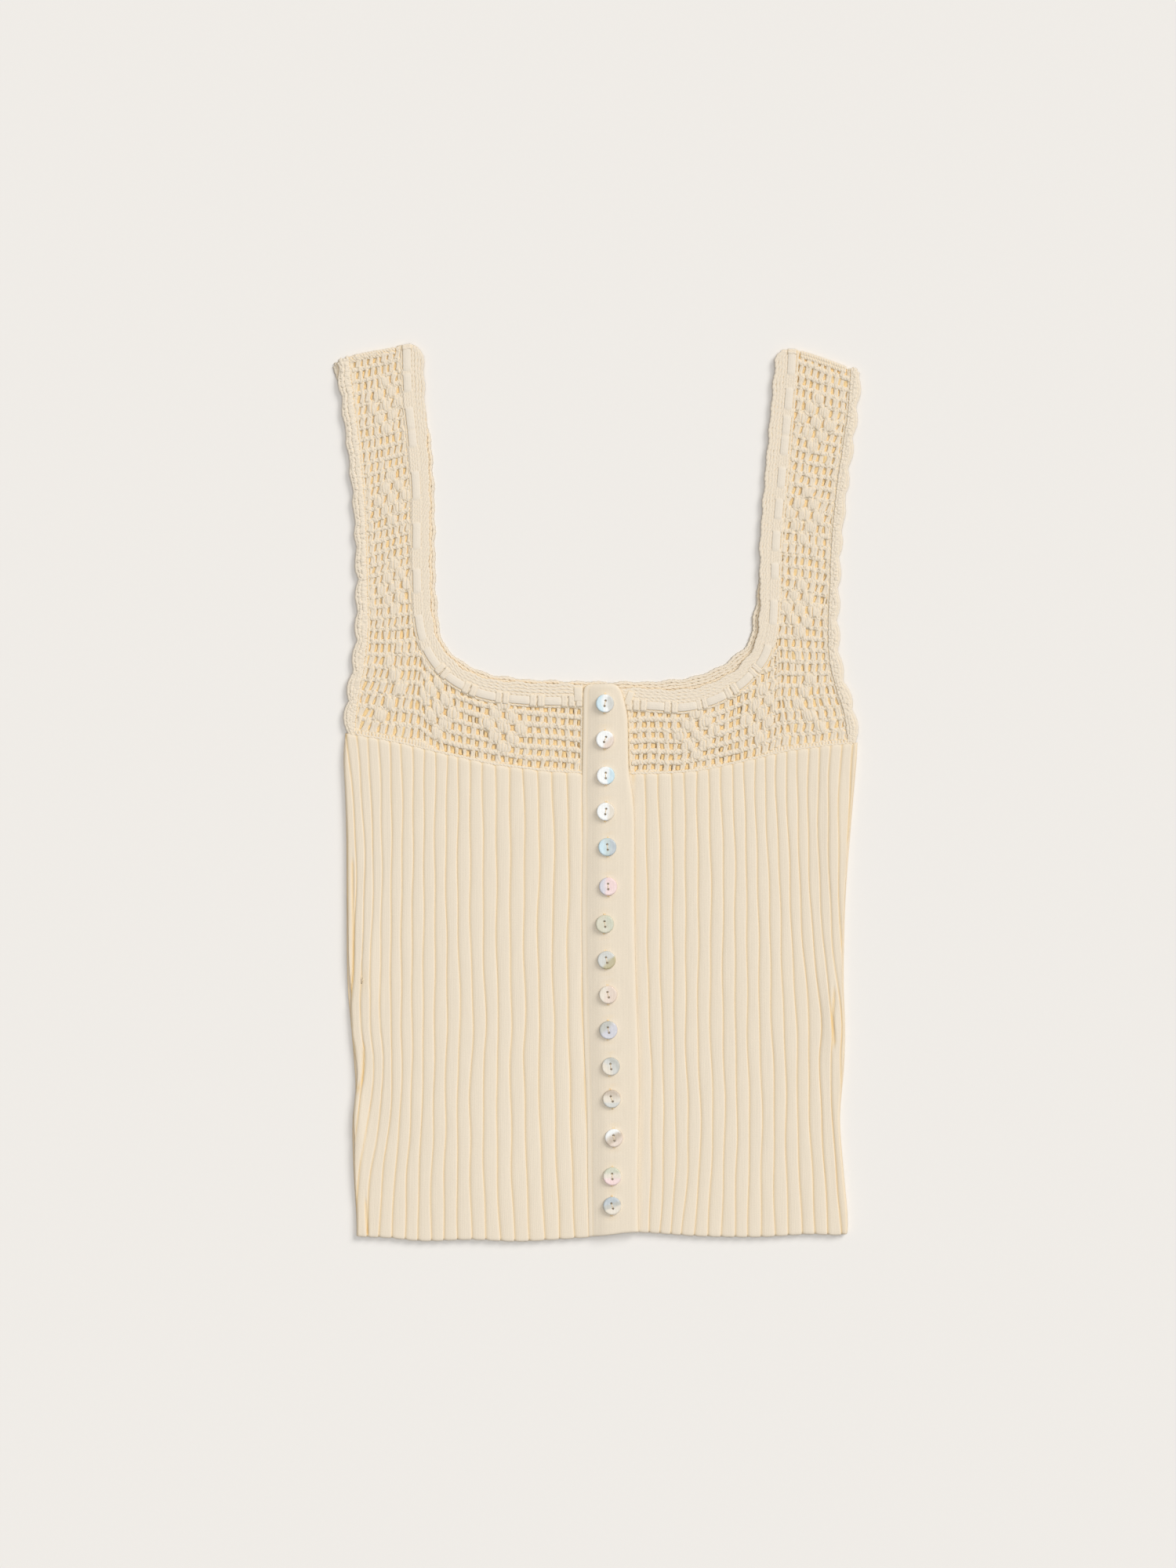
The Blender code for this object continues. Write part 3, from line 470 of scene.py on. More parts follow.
def paired(lines, spacing, *halves):
    """Parallel curves cut at one or both folds, with their points side by side."""
    ends = []
    for line in lines:
        middle = len(line) // 2 if len(halves) == 2 else 0
        low = middle - cut_index(line[middle::-1], halves[0]) if middle else 0.0
        ends.append((low, middle + cut_index(line[middle:], halves[-1])))
    low, high = np.mean(ends, axis=0)
    centre = sum(line[:, :2] for line in lines) / len(lines)
    index = np.arange(len(centre))
    shares = np.linspace(0.0, 1.0, 2000)
    run = run_of(rows_at(centre, index, between(low, high, shares)))
    shares = np.interp(np.linspace(0.0, run[-1], round(run[-1] / spacing) + 1), run, shares)
    return [rows_at(line[:, :2], index, between(a, b, shares)) for line, (a, b) in zip(lines, ends)]


def fold_between(half, one, other, down):
    """Points a little below a shoulder fold between two places across, in that order."""
    low, high = min(one, other), max(one, other)
    points = half.fold[(half.fold[:, 0] > low) & (half.fold[:, 0] < high)].copy()
    points[:, 1] -= down
    return points if one < other else points[::-1]


# ---- meshes ------------------------------------------------------------------------------------

def shown(name, data):
    """Object in the scene that holds the data."""
    made = bpy.data.objects.new(name, data)
    bpy.context.scene.collection.objects.link(made)
    return made


def as_part(mesh, material, nodes):
    """Object of a mesh, riding on the one body and standing for its CAD nodes."""
    mesh.shade_smooth()
    mesh.materials.append(material)
    made = shown(mesh.name, mesh)
    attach(made, "root")
    if nodes:
        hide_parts(*nodes)
    return made


class Piece:
    """Points, faces and surface values of one piece, gathered from many strands and slabs."""

    def __init__(self):
        self.points, self.quads, self.uvs, self.shades, self.count = [], [], [], [], 0

    def add_rings(self, rings, run, shade=0.0):
        """Closed tubes; rings is tubes x stations x corners x 3, and run their lengths in mm."""
        tubes, rows, sides, _ = rings.shape
        index = self.count + np.arange(tubes * rows * sides).reshape(tubes, rows, sides)
        here, after = index[:, :-1], index[:, 1:]
        quads = np.stack((here, after, np.roll(after, -1, 2), np.roll(here, -1, 2)), axis=-1)
        uv = np.zeros(quads.shape + (2,))
        run = np.broadcast_to(run, (tubes, rows))
        uv[..., 0, 0] = uv[..., 3, 0] = run[:, :-1, None]
        uv[..., 1, 0] = uv[..., 2, 0] = run[:, 1:, None]
        around = np.arange(sides) / sides
        uv[..., 0, 1] = uv[..., 1, 1] = around
        uv[..., 2, 1] = uv[..., 3, 1] = around + 1 / sides
        self.quads.append(quads.reshape(-1, 4))
        self.uvs.append(uv.reshape(-1, 4, 2))
        for corner in range(1, sides - 2, 2):
            cap = [0, corner, corner + 1, corner + 2]
            for end, order in ((0, cap), (rows - 1, cap[::-1])):
                self.quads.append(index[:, end][:, order])
                self.uvs.append(np.zeros((tubes, 4, 2)))
        shade = np.asarray(shade, float)
        if shade.ndim == 2:
            shade = shade[..., None]
        self.keep(rings.reshape(-1, 3), np.broadcast_to(shade, (tubes, rows, sides)))

    def add_slab(self, top, bottom, uv, shade):
        """Closed slab between two grids of rows x columns x 3."""
        rows, columns, _ = top.shape
        upper = self.count + np.arange(rows * columns).reshape(rows, columns)
        lower = upper + rows * columns

        def add_faces(corners, values):
            self.quads.append(np.stack(corners, axis=-1).reshape(-1, 4))
            self.uvs.append(np.stack(values, axis=-2).reshape(-1, 4, 2))

        def squares(grid):
            return grid[:-1, :-1], grid[:-1, 1:], grid[1:, 1:], grid[1:, :-1]

        add_faces(squares(upper), squares(uv))
        add_faces(squares(lower)[::-1], squares(uv)[::-1])
        for side in (np.s_[0], np.s_[-1, ::-1], np.s_[::-1, 0], np.s_[:, -1]):
            u, w, t = upper[side], lower[side], uv[side]
            add_faces((u[1:], u[:-1], w[:-1], w[1:]), (t[1:], t[:-1], t[:-1], t[1:]))
        self.keep(np.concatenate((top.reshape(-1, 3), bottom.reshape(-1, 3))),
                  np.broadcast_to(shade, (2, rows, columns)))

    def keep(self, points, shade):
        """Take in points with one shade for each of them."""
        self.points.append(points)
        self.shades.append(shade.ravel())
        self.count += len(points)

    def finish(self, name, material, nodes=(), slot="crochet", floor=None):
        """The piece as an object; where a floor is given, nothing sinks below it."""
        points = np.concatenate(self.points)
        if floor is not None:
            points[:, 2] = np.maximum(points[:, 2], floor)
        quads = np.concatenate(self.quads).astype(np.int32)
        mesh = bpy.data.meshes.new(name)
        mesh.vertices.add(len(points))
        mesh.vertices.foreach_set("co", (points * MM).astype(np.float32).ravel())
        mesh.loops.add(quads.size)
        mesh.loops.foreach_set("vertex_index", quads.ravel())
        mesh.polygons.add(len(quads))
        mesh.polygons.foreach_set("loop_start", np.arange(0, quads.size, 4, dtype=np.int32))
        mesh.update(calc_edges=True)
        layer = mesh.uv_layers.new(name="UVMap")
        layer.uv.foreach_set("vector", np.concatenate(self.uvs).astype(np.float32).ravel())
        shade = mesh.attributes.new("shade", "FLOAT", "POINT")
        shade.data.foreach_set("value", np.concatenate(self.shades).astype(np.float32))
        return as_part(mesh, material, nodes)


def add_strands(piece, paths, radius, sides=6, squash=1.0, lobes=0.0, twist=0.0, start=0.0,
                shade=0.0):
    """Yarn along paths of tubes x points x 3; lobes and twist make a round yarn a two-ply cord.

    The shade is a number, one number for each point of the paths, or a function of the height.
    """
    if not len(paths):
        return
    way = np.gradient(paths, axis=1)
    way /= np.maximum(np.linalg.norm(way, axis=2), 1e-9)[..., None]
    side = np.cross(way, (0.0, 0.0, 1.0))
    side /= np.maximum(np.linalg.norm(side, axis=2), 1e-6)[..., None]
    up = np.cross(side, way)
    steps = np.linalg.norm(np.diff(paths, axis=1), axis=2)
    run = np.concatenate((np.zeros((len(paths), 1)), np.cumsum(steps, axis=1)), axis=1)
    angle = 2 * np.pi * np.arange(sides) / sides
    phase = np.broadcast_to(start, (len(paths),))[:, None, None] + twist * run[..., None]
    size = np.broadcast_to(radius, run.shape)[..., None] * (1 + lobes * np.cos(2 * (angle - phase)))
    rings = (paths[:, :, None] + (size * np.cos(angle))[..., None] * side[:, :, None]
             + (size * np.sin(angle) * squash)[..., None] * up[:, :, None])
    piece.add_rings(rings, run, shade(rings[..., 2]) if callable(shade) else shade)


def add_strip(piece, outer, inner, run, profile, low, size, width=1.0, shade=0.0):
    """Closed strip of cloth between two plan curves with the same count of points.

    The profile's corners are shares of the way from the outer to the inner curve, drawn in to the
    width, and shares of the size above the low height.
    """
    rings = np.zeros((1, len(outer), len(profile), 3))
    for corner, (share, up) in enumerate(profile):
        share = np.broadcast_to(0.5 + (share - 0.5) * width, len(outer))[:, None]
        rings[0, :, corner, :2] = outer * (1 - share) + inner * share
        rings[0, :, corner, 2] = low + size * up
    fan, way = inner[0] - outer[0], outer[1] - outer[0]
    if fan[0] * way[1] - fan[1] * way[0] < 0:
        rings = rings[:, :, ::-1]
    piece.add_rings(rings, run[None], shade)


def braid(piece, curve, form, height, sides=6, points=6, drift=0.0):
    """Two yarns that cross each other along a plan curve, like the top of a row of stitches.

    The form is the length of a wave, its reach to each side and up, the radius and the squash.
    """
    wave, reach, lift, radius, squash = form
    run = run_of(curve)
    crossings = max(1, round(run[-1] / wave))
    count = crossings * points + 1
    middle = rows_at(curve, run, np.linspace(0.0, run[-1], count))[:, :2]
    phase = np.linspace(0.0, 2 * np.pi * crossings, count) + drift
    for strand in (1, -1):
        swing = strand * np.cos(phase) * reach
        z = height + strand * np.sin(phase) * lift
        paths = np.column_stack((middle - normals(middle) * swing[:, None], z))[None]
        add_strands(piece, paths, radius, sides, squash)


def strokes(piece, starts, ends, height, radius, arch, stations, sides, squash, shade=0.0):
    """Single stitches between pairs of plan points, arched over what they cross."""
    t = np.linspace(0.0, 1.0, stations)[None, :, None]
    flat = starts[:, None] * (1 - t) + ends[:, None] * t
    z = np.broadcast_to(height + arch * np.sin(np.pi * t[..., 0]), flat.shape[:2])
    paths = np.concatenate((flat, z[..., None]), axis=2)
    add_strands(piece, paths, radius, sides, squash, 0.14, 0.9, rng.uniform(0, np.pi, len(paths)),
                shade)


# ---- materials ---------------------------------------------------------------------------------

class Nodes:
    """Short calls for one material's node tree."""

    def __init__(self, name):
        self.material = bpy.data.materials.new(name)
        self.material.use_nodes = True
        self.tree = self.material.node_tree
        self.shader = self.tree.nodes["Principled BSDF"]

    def link(self, value, socket):
        """Give an input another node's output, a number or a colour."""
        if isinstance(value, bpy.types.NodeSocket):
            self.tree.links.new(value, socket)
        else:
            socket.default_value = value

    def add(self, kind, inputs=(), **settings):
        """Node of a kind, with its settings and with its inputs by name or by number."""
        node = self.tree.nodes.new("ShaderNode" + kind)
        for key, value in settings.items():
            setattr(node, key, value)
        for key, value in dict(inputs).items():
            self.link(value, node.inputs[key])
        return node

    def math(self, operation, *values):
        return self.add("Math", enumerate(values), operation=operation).outputs[0]

    def times(self, a, b, plus=None):
        """a * b, or a * b + plus."""
        if plus is None:
            return self.math("MULTIPLY", a, b)
        return self.math("MULTIPLY_ADD", a, b, plus)

    def shortfall(self, value, whole, scale, most=None):
        """How far a value falls short of a whole, scaled and kept from 0 to the most."""
        result = self.math("MAXIMUM", self.times(self.math("SUBTRACT", whole, value), scale), 0.0)
        return result if most is None else self.math("MINIMUM", result, most)

    def mix(self, share, a, b, blend="MIX"):
        node = self.add("Mix", data_type="RGBA", blend_type=blend)
        for value, index in ((share, 0), (a, 6), (b, 7)):
            self.link(value, node.inputs[index])
        return node.outputs[2]

    def toned(self, colour, tone):
        """A colour times a grey tone."""
        grey = self.add("CombineColor", enumerate((tone, tone, tone))).outputs[0]
        return self.mix(1.0, colour, grey, "MULTIPLY")

    def noise(self, scale, detail, stretch=None):
        """Cloudy values that stay where they are on the object, in metres."""
        vector = self.add("TexCoord").outputs["Object"]
        if stretch:
            vector = self.add("Mapping", {"Vector": vector, "Scale": stretch}).outputs[0]
        inputs = {"Vector": vector, "Scale": scale, "Detail": detail}
        return self.add("TexNoise", inputs).outputs["Fac"]

    def uv(self):
        """Run along a strand and turn around it, or wales and stitches on a slab."""
        layer = self.add("UVMap", uv_map="UVMap").outputs[0]
        return self.add("SeparateXYZ", {0: layer}).outputs[:2]

    def attribute(self, name, output="Fac"):
        return self.add("Attribute", attribute_name=name).outputs[output]

    def open_sky(self, distance):
        """1 in the open, less in the depths between strands."""
        return self.add("AmbientOcclusion", {"Distance": distance}, samples=2).outputs["AO"]

    def bump(self, height, distance, strength):
        inputs = {"Strength": strength, "Distance": distance, "Height": height}
        return self.add("Bump", inputs).outputs[0]

    def surface(self, **inputs):
        """The material, with inputs of its shader by name, written with _ for a space."""
        for name, value in inputs.items():
            self.link(value, self.shader.inputs[name.replace("_", " ")])
        return self.material

    def cloth(self, colour, normal, roughness, sheen):
        return self.surface(
            Base_Color=colour, Normal=normal, Roughness=roughness, Specular_IOR_Level=0.25,
            Sheen_Weight=sheen, Sheen_Roughness=0.5, Sheen_Tint=(1.0, 0.95, 0.86, 1.0))


CREAM = (0.74, 0.652, 0.535, 1.0)
CREAM_RIB = (0.757, 0.67, 0.55, 1.0)
CREAM_EDGE = (0.77, 0.68, 0.56, 1.0)
CREAM_TAPE = (0.765, 0.685, 0.575, 1.0)
WARM = (0.86, 0.68, 0.42, 1.0)       # painted shade in thin gaps and crevices of the cloth, also its random warm patches
GROOVE = (0.74, 0.52, 0.235, 1.0)    # painted shade in the grooves between the ribs
OCHRE = (0.79, 0.56, 0.27, 1.0)      # painted shade of yarn that faces the space between the layers
GLOW = (1.0, 0.73, 0.35, 1.0)        # painted bounce light: a bright warm colour for the shaded depths between the strands
# Painted shadow: dark colour of the gap at the pulled loop.
SNAG_SHADOW_COLOUR = (0.44, 0.33, 0.19, 1.0)
# White of the shell, whose clouds also stand for its pearly sheen, painted in.
PEARL_WHITE_AND_SHEEN = (0.94, 0.94, 0.92, 1.0)
FLOOR_GREY = (0.799, 0.775, 0.745, 1.0)
PLY = 1.7                            # length in which a ply turns once round its yarn


def yarn_material(name, colour, ochre, crevice_shade):
    """Matt cotton yarn: faint plies along each strand, loose fibres, and painted shade in its
    depths.
    """
    made = Nodes(name)
    run, around = made.uv()
    turns = made.math("ADD", made.math("DIVIDE", run, PLY), around)
    plies = made.math("SINE", made.times(turns, 4 * math.pi))
    fibres, fuzz, patches = made.noise(2300.0, 4.0), made.noise(900.0, 3.0), made.noise(60.0, 2.0)
    open_sky = made.open_sky(0.0024)
    # Painted shade: crevices that ambient occlusion finds turn WARM, yarn with a shade value turns
    # OCHRE, and the deepest parts take GLOW, a painted warm bounce light.
    paint = made.mix(made.shortfall(open_sky, 0.93, crevice_shade), colour, WARM)
    paint = made.mix(made.math("MINIMUM", made.attribute("shade"), ochre), paint, OCHRE)
    paint = made.mix(made.shortfall(open_sky, 0.80, 1.7, ochre), paint, GLOW)
    paint = made.toned(paint, made.times(fuzz, 0.10, made.times(fibres, 0.08, 0.91)))
    # Random warm patches of the yarn's own tone.
    paint = made.mix(made.times(patches, 0.10), paint, WARM)
    height = made.times(fuzz, 1.4, made.times(fibres, 1.0, made.times(plies, 0.05)))
    return made.cloth(paint, made.bump(height, 0.00026, 0.6), 0.9, 0.5)


def knit_material(name, relief):
    """Fine jersey: the UV counts wales across and stitches along."""
    made = Nodes(name)
    wale, course = made.uv()
    leg = made.math("ABSOLUTE", made.times(made.math("FRACT", wale), 2.0, -1.0))
    stitch = made.math("SINE", made.times(made.times(leg, -0.45, course), 2 * math.pi))
    ridge = made.math("SUBTRACT", 1.0, made.math("POWER", leg, 3.0))
    fibres, patches = made.noise(1500.0, 3.0), made.noise(22.0, 3.0)
    streaks = made.noise(1.0, 3.0, (900.0, 60.0, 900.0))
    # Painted shade: the shade value turns grooves, creases and edges toward GROOVE, and the gaps
    # between wales are tinted WARM.
    paint = made.mix(made.math("MINIMUM", made.attribute("shade"), 1.0), CREAM_RIB, GROOVE)
    paint = made.mix(made.times(made.math("SUBTRACT", 1.0, ridge), 0.12), paint, WARM)
    paint = made.toned(paint, made.times(fibres, 0.08, made.times(streaks, 0.10, 0.91)))
    # Random warm patches of the knit's own tone.
    paint = made.mix(made.times(patches, 0.08), paint, WARM)
    height = made.times(fibres, 1.6, made.times(stitch, 0.10, ridge))
    return made.cloth(paint, made.bump(height, relief, 0.8), 0.92, 0.2)


def ribbon_material():
    """Soft flat-knit tape: very fine ribs along it, and painted shade in its crevices and where
    stitches cross it.
    """
    made = Nodes("ribbon_tape")
    _, around = made.uv()
    ribs = made.math("SINE", made.times(around, 2 * math.pi * 14))
    fibres, fuzz = made.noise(2200.0, 3.0), made.noise(800.0, 3.0)
    # Painted shade from ambient occlusion and from the shade value.
    depth = made.shortfall(made.open_sky(0.002), 0.85, 0.8)
    depth = made.math("MINIMUM", made.math("ADD", depth, made.attribute("shade")), 1.0)
    paint = made.mix(depth, CREAM_TAPE, WARM)
    paint = made.toned(paint, made.times(fibres, 0.10, 0.95))
    height = made.times(fibres, 0.8, made.times(fuzz, 1.2, made.times(ribs, 0.12)))
    return made.cloth(paint, made.bump(height, 0.0002, 0.6), 0.9, 0.4)


def shell_material():
    """Mother of pearl: hues on each button, partly its own and partly its painted pearly sheen,
    clouds of white, growth lines and a polished coat.
    """
    made = Nodes("pearly_shell")
    inputs = {"Vector": made.add("TexCoord").outputs["Object"], "Scale": 190.0, "Distortion": 6.0,
              "Detail": 2.0, "Detail Scale": 0.4}
    lines = made.add("TexWave", inputs).outputs["Fac"]
    cloud = made.times(made.noise(260.0, 2.0), 0.36)
    paint = made.mix(cloud, made.attribute("hue", "Color"), PEARL_WHITE_AND_SHEEN)
    return made.surface(
        Base_Color=made.toned(paint, made.times(lines, 0.04, 0.93)),
        Normal=made.bump(lines, 0.00003, 0.25), Roughness=0.22, Specular_IOR_Level=0.2,
        Coat_Weight=0.18, Coat_Roughness=0.06)


def floor_material():
    """Pale matt floor with a faint grain."""
    made = Nodes("pale_floor")
    paint = made.toned(FLOOR_GREY, made.times(made.noise(400.0, 2.0), 0.01, 0.995))
    return made.surface(Base_Color=paint, Roughness=0.95, Specular_IOR_Level=0.1)


YARN = yarn_material("crochet_yarn", CREAM, 1.0, 1.4)
EDGE_YARN = yarn_material("edging_yarn", CREAM_EDGE, 0.25, 0.7)
SNAG_SHADOW_YARN = yarn_material("snag_painted_shadow", SNAG_SHADOW_COLOUR, 0.0, 0.0)
KNIT = knit_material("rib_knit", 0.00006)
BAND_KNIT = knit_material("band_knit", 0.00005)
TAPE = ribbon_material()
PEARL = shell_material()


# ---- rib panels --------------------------------------------------------------------------------

RIB_SAMPLES = (0.0, 0.04, 0.09, 0.18, 0.34, 0.6, 0.86, 0.93, 0.97)
ALIGNED_RIBS = 15            # beyond these the columns crowd towards the side edge
SIDE_COLUMNS = 84
BACK_RIBS = 38
BACK_SAMPLES = (0.0, 0.08, 0.3, 0.7, 0.93)
BACK_EDGE_SAMPLES = np.array((0.032, 0.08, 0.16, 0.28, 0.48))
FRONT_ROWS, BACK_ROWS = 60, 40
TOP_GUESS, HEM_GUESS = 12.0, -261.0  # ends of the rows before they follow the seam and the hem
SEAM_TURN, BAND_TURN = (0.9, 2.6), (0.4, 1.2)    # depth and radius of the turn down at an edge
FRONT_SIDE_RADIUS, BACK_SIDE_RADIUS, HEM_RADIUS = 1.6, 2.1, 1.3
FRONT_HEM_WAVE, BACK_HEM_WAVE = 1.0, 0.7         # how far the ribs reach past the grooves there
SNAG_REACH = (3.0, 6.0)      # half width and half length of the cloth round the pulled loop
SNAG_PULL, SNAG_DIP = 0.45, 0.4      # share by which it is drawn in there, and its depth
FOLD_SHARE = 0.5             # of the height of a soft fold that its underside follows


def rib_profile(ribs):
    """Height of the knit, from 0 to 1, after a number of ribs from left to right."""
    part = ribs % 1.0
    rise = 1 - np.clip(1 - part / RIB_RISE, 0, 1) ** 2.2
    fall = 1 - np.clip(1 - (1 - part) / RIB_FALL, 0, 1) ** 2.2
    return rise * fall


def groove_shade(ribs):
    """Painted shade in a groove, more on its right, and on the slope to its right, which faces away
    from the key light.
    """
    part = ribs % 1.0
    slope = 0.16 * (1 - step_up(part, 0.0, 0.4))
    return 0.56 * bell(part, 0.09) + 0.3 * bell(1 - part, 0.05) + slope


def fold_height(across, along):
    """Height of the soft folds."""
    return sum(height * bell(across - x, half_width, along - y, half_length)
               for x, y, half_width, half_length, height in FOLDS)


def crease_depth(across, along):
    """Depth of the creases and, from 0 to 1, how close each point is to one."""
    depth, near = np.zeros(across.shape), np.zeros(across.shape)
    for deep, width, *points in CREASES:
        gap = np.full(across.shape, np.inf)
        for (x0, y0), (x1, y1) in zip(points, points[1:]):
            dx, dy = x1 - x0, y1 - y0
            t = ((across - x0) * dx + (along - y0) * dy) / (dx ** 2 + dy ** 2)
            t = np.clip(t, 0.0, 1.0)
            gap = np.minimum(gap, np.hypot(across - x0 - t * dx, along - y0 - t * dy))
        close = bell(gap, width)
        depth, near = depth + deep * close, np.maximum(near, close)
    return depth, near


def wiggle(whole, along):
    """How far a groove strays from its table."""
    return 0.24 * np.sin(along / 8.5 + 2.4 * whole) + 0.18 * np.sin(along / 17.0 + 5.1 * whole)


def line_at(half, count, along):
    """Place across of the groove with that count, which may be a fraction."""
    known = np.stack([looked_up(along, half.grooves, 1 + i) for i in range(6)], axis=-1)
    before = 2 * known[..., :1] - known[..., 1:2]
    after = 2 * known[..., -1:] - known[..., -2:-1]
    padded = np.concatenate((before, known, after), axis=-1)
    spot = np.clip(count / GROOVES_PER_COLUMN, -0.9, 5.9) + 1
    index = np.clip(np.floor(spot).astype(int), 1, 5)
    points = [np.take_along_axis(padded, (index + i)[..., None], -1)[..., 0] for i in (-1, 0, 1, 2)]
    whole = np.floor(count)
    part = step_up(count - whole, 0.0, 1.0)
    return (catmull_rom(*points, spot - index) + wiggle(whole, along) * (1 - part)
            + wiggle(whole + 1, along) * part)


def count_at(half, across, along):
    """Which groove, as a fraction, lies at a place; one value for each row."""
    counts = np.linspace(-1.0, 23.0, 400)
    result = []
    for x, y in zip(across, along):
        places = line_at(half, counts, np.full(counts.shape, y))
        order = np.argsort(places)
        result.append(np.interp(x, places[order], counts[order]))
    return np.array(result)


def row_shares(amount):
    """Shares of the way from the seam to the hem of a rib panel's rows, closer at both ends."""
    middle = np.linspace(0.012, 0.985, amount)
    return np.concatenate(((0.0, 0.003, 0.007), middle, (0.989, 0.993, 0.9965, 0.9985, 1.0)))


def rib_grid(shares, columns, across_at):
    """Places across and along of a panel's grid, whose rows run from the seam to the hem.

    across_at gives the places across for places along, and the two settle in three rounds.
    """
    along = np.repeat(between(TOP_GUESS, HEM_GUESS, shares)[:, None], columns, axis=1)
    for _ in range(3):
        across = across_at(along)
        seam = seam_at(across) - STITCHED_GAP
        along = between(seam, hem_at(across), shares[:, None])
    return across, along


def grid_area(across, along):
    """Area in square metres inside the outer edge of a grid."""
    edges = (np.s_[:, 0], np.s_[-1], np.s_[::-1, -1], np.s_[0, ::-1])
    return polygon_area(np.concatenate([np.column_stack((across[edge], along[edge]))
                                        for edge in edges]))


def cloth_piece(node, material, slot, across, along, top, bottom, wales, shade):
    """Slab of knit whose rows run downwards and whose columns run to the right."""
    uv = np.stack(np.broadcast_arrays(wales, along / COURSE), axis=-1)
    grids = [np.stack((across, along, height), axis=-1)[::-1] for height in (top, bottom)]
    piece = Piece()
    piece.add_slab(*grids, uv[::-1], np.broadcast_to(shade, top.shape)[::-1])
    return piece.finish(node + "_knit", material, (node,), slot)


def groove_counts(half, shares):
    """Counts of a front rib's columns, row by row, from the button band to the side."""
    rows = between(TOP_GUESS, HEM_GUESS, shares)
    inner = count_at(half, band_at(rows, half.edge) - half.rib_inset, rows)[:, None]
    outer = count_at(half, side_at(rows, half.edge), rows)[:, None]
    base = np.array([rib + part for rib in range(ALIGNED_RIBS) for part in RIB_SAMPLES])
    if half is LEFT:
        base = ALIGNED_RIBS - base
    base = np.unique(np.concatenate(([0.0], base)))
    base = base[base < ALIGNED_RIBS]
    first = np.where(base < 1, inner + base * (1 - inner), base)
    last = between(ALIGNED_RIBS, outer, np.linspace(0.0, 1.0, SIDE_COLUMNS))
    return np.concatenate((first, last), axis=1)


def front_rib(half):
    """One front panel of the rib knit, laid over its grooves' lines."""
    shares = row_shares(FRONT_ROWS)
    count = groove_counts(half, shares)

    def across_at(along):
        across, limit = line_at(half, count, along), side_at(along, half.edge)
        return np.where(half.sign * across > half.sign * limit, limit, across)

    across, along = rib_grid(shares, count.shape[1], across_at)
    inner = band_at(along[:, 0], half.edge) - half.rib_inset
    from_band = np.abs(across - across[:, :1])
    across = across + (inner - across[:, 0])[:, None] * np.exp(-from_band / 2.0)
    from_side = np.abs(across - side_at(along, half.edge))
    from_hem = along - hem_at(across)
    from_seam = seam_at(across) - along
    near_side = np.exp(-from_side / 14.0)

    ribs = half.sign * count
    profile = np.maximum(rib_profile(ribs), 0.6 * bell(from_band, 1.2))
    relief = 1 + 0.1 * np.sin(along / 31.0 + 1.7 * np.floor(count)) + 0.25 * near_side
    relief = RIB_RELIEF * relief * (0.55 + 0.45 * step_up(from_seam, 0.0, 5.0))
    pull = bell(across - SNAG[0], SNAG_REACH[0], along - SNAG[1], SNAG_REACH[1])
    across = across + SNAG_PULL * (SNAG[0] - across) * pull
    dip, creased = crease_depth(across, along)
    folds = fold_height(across, along)

    high = FRONT_TOP - relief * (1 - profile) + folds - dip - SNAG_DIP * pull
    for distance, (depth, radius) in ((from_seam, SEAM_TURN), (from_band, BAND_TURN)):
        high = high - depth * (1 - rounded(distance, radius))
    top = between(MIDDLE + CLEAR, high, rounded(from_side, FRONT_SIDE_RADIUS))
    top = between(FRONT_LOW + 0.15, top, 0.5 + 0.5 * rounded(from_hem, HEM_RADIUS))
    top = np.maximum(top, MIDDLE + CLEAR)
    bottom = np.minimum(FRONT_LOW + FOLD_SHARE * folds, top - 0.02)
    bottom = np.maximum(bottom, MIDDLE + 0.01)

    notch = 0.9 * (1 - np.abs(np.sin(np.pi * (ribs + 0.06))) ** 0.35) * np.exp(-from_seam / 2.0)
    along = along - FRONT_HEM_WAVE * (profile - 0.6) * np.exp(-from_hem / 3.0) - notch
    # Painted shade: notches at the seam, grooves and their shaded slopes, the rolled side edge, the
    # edge by the band, the drawn-in cloth at the snag and the creases.
    shade = 0.35 * notch + groove_shade(ribs) * (0.75 + 0.35 * near_side)
    shade = shade + 0.35 * np.exp(-from_side / 1.2) + 0.35 * np.exp(-from_band / 0.4)
    shade = shade + 0.2 * pull + 0.6 * creased
    values = (across, along, top, bottom, count * WALES_PER_RIB, shade)
    values = [value[:, ::half.sign] for value in values]
    made = cloth_piece(f"front_rib_{half.label}", KNIT, "rib", *values)
    return made, grid_area(across, along)


def snag_loops():
    """The pulled loop: a small gap between two stitches, drawn as a dark stroke of painted shadow,
    with a thread hanging over it.
    """
    gap, loops = Piece(), Piece()
    strokes(gap, np.array([(0.2, 2.2)]) + SNAG, np.array([(-0.3, -2.2)]) + SNAG, height=3.5,
            radius=0.95, arch=0.2, stations=7, sides=8, squash=0.4, shade=1.0)
    starts = np.array([(-0.6, 2.4), (0.6, 2.3), (-0.5, -0.3)]) + SNAG
    ends = np.array([(-0.2, -2.6), (0.5, -2.2), (0.7, 0.6)]) + SNAG
    strokes(loops, starts, ends, height=3.65, radius=0.26, arch=0.3, stations=7, sides=6,
            squash=0.8, shade=0.1)
    gap.finish("snag_gap_shadow", SNAG_SHADOW_YARN, (), "rib")
    loops.finish("snag_loops", YARN, (), "rib")


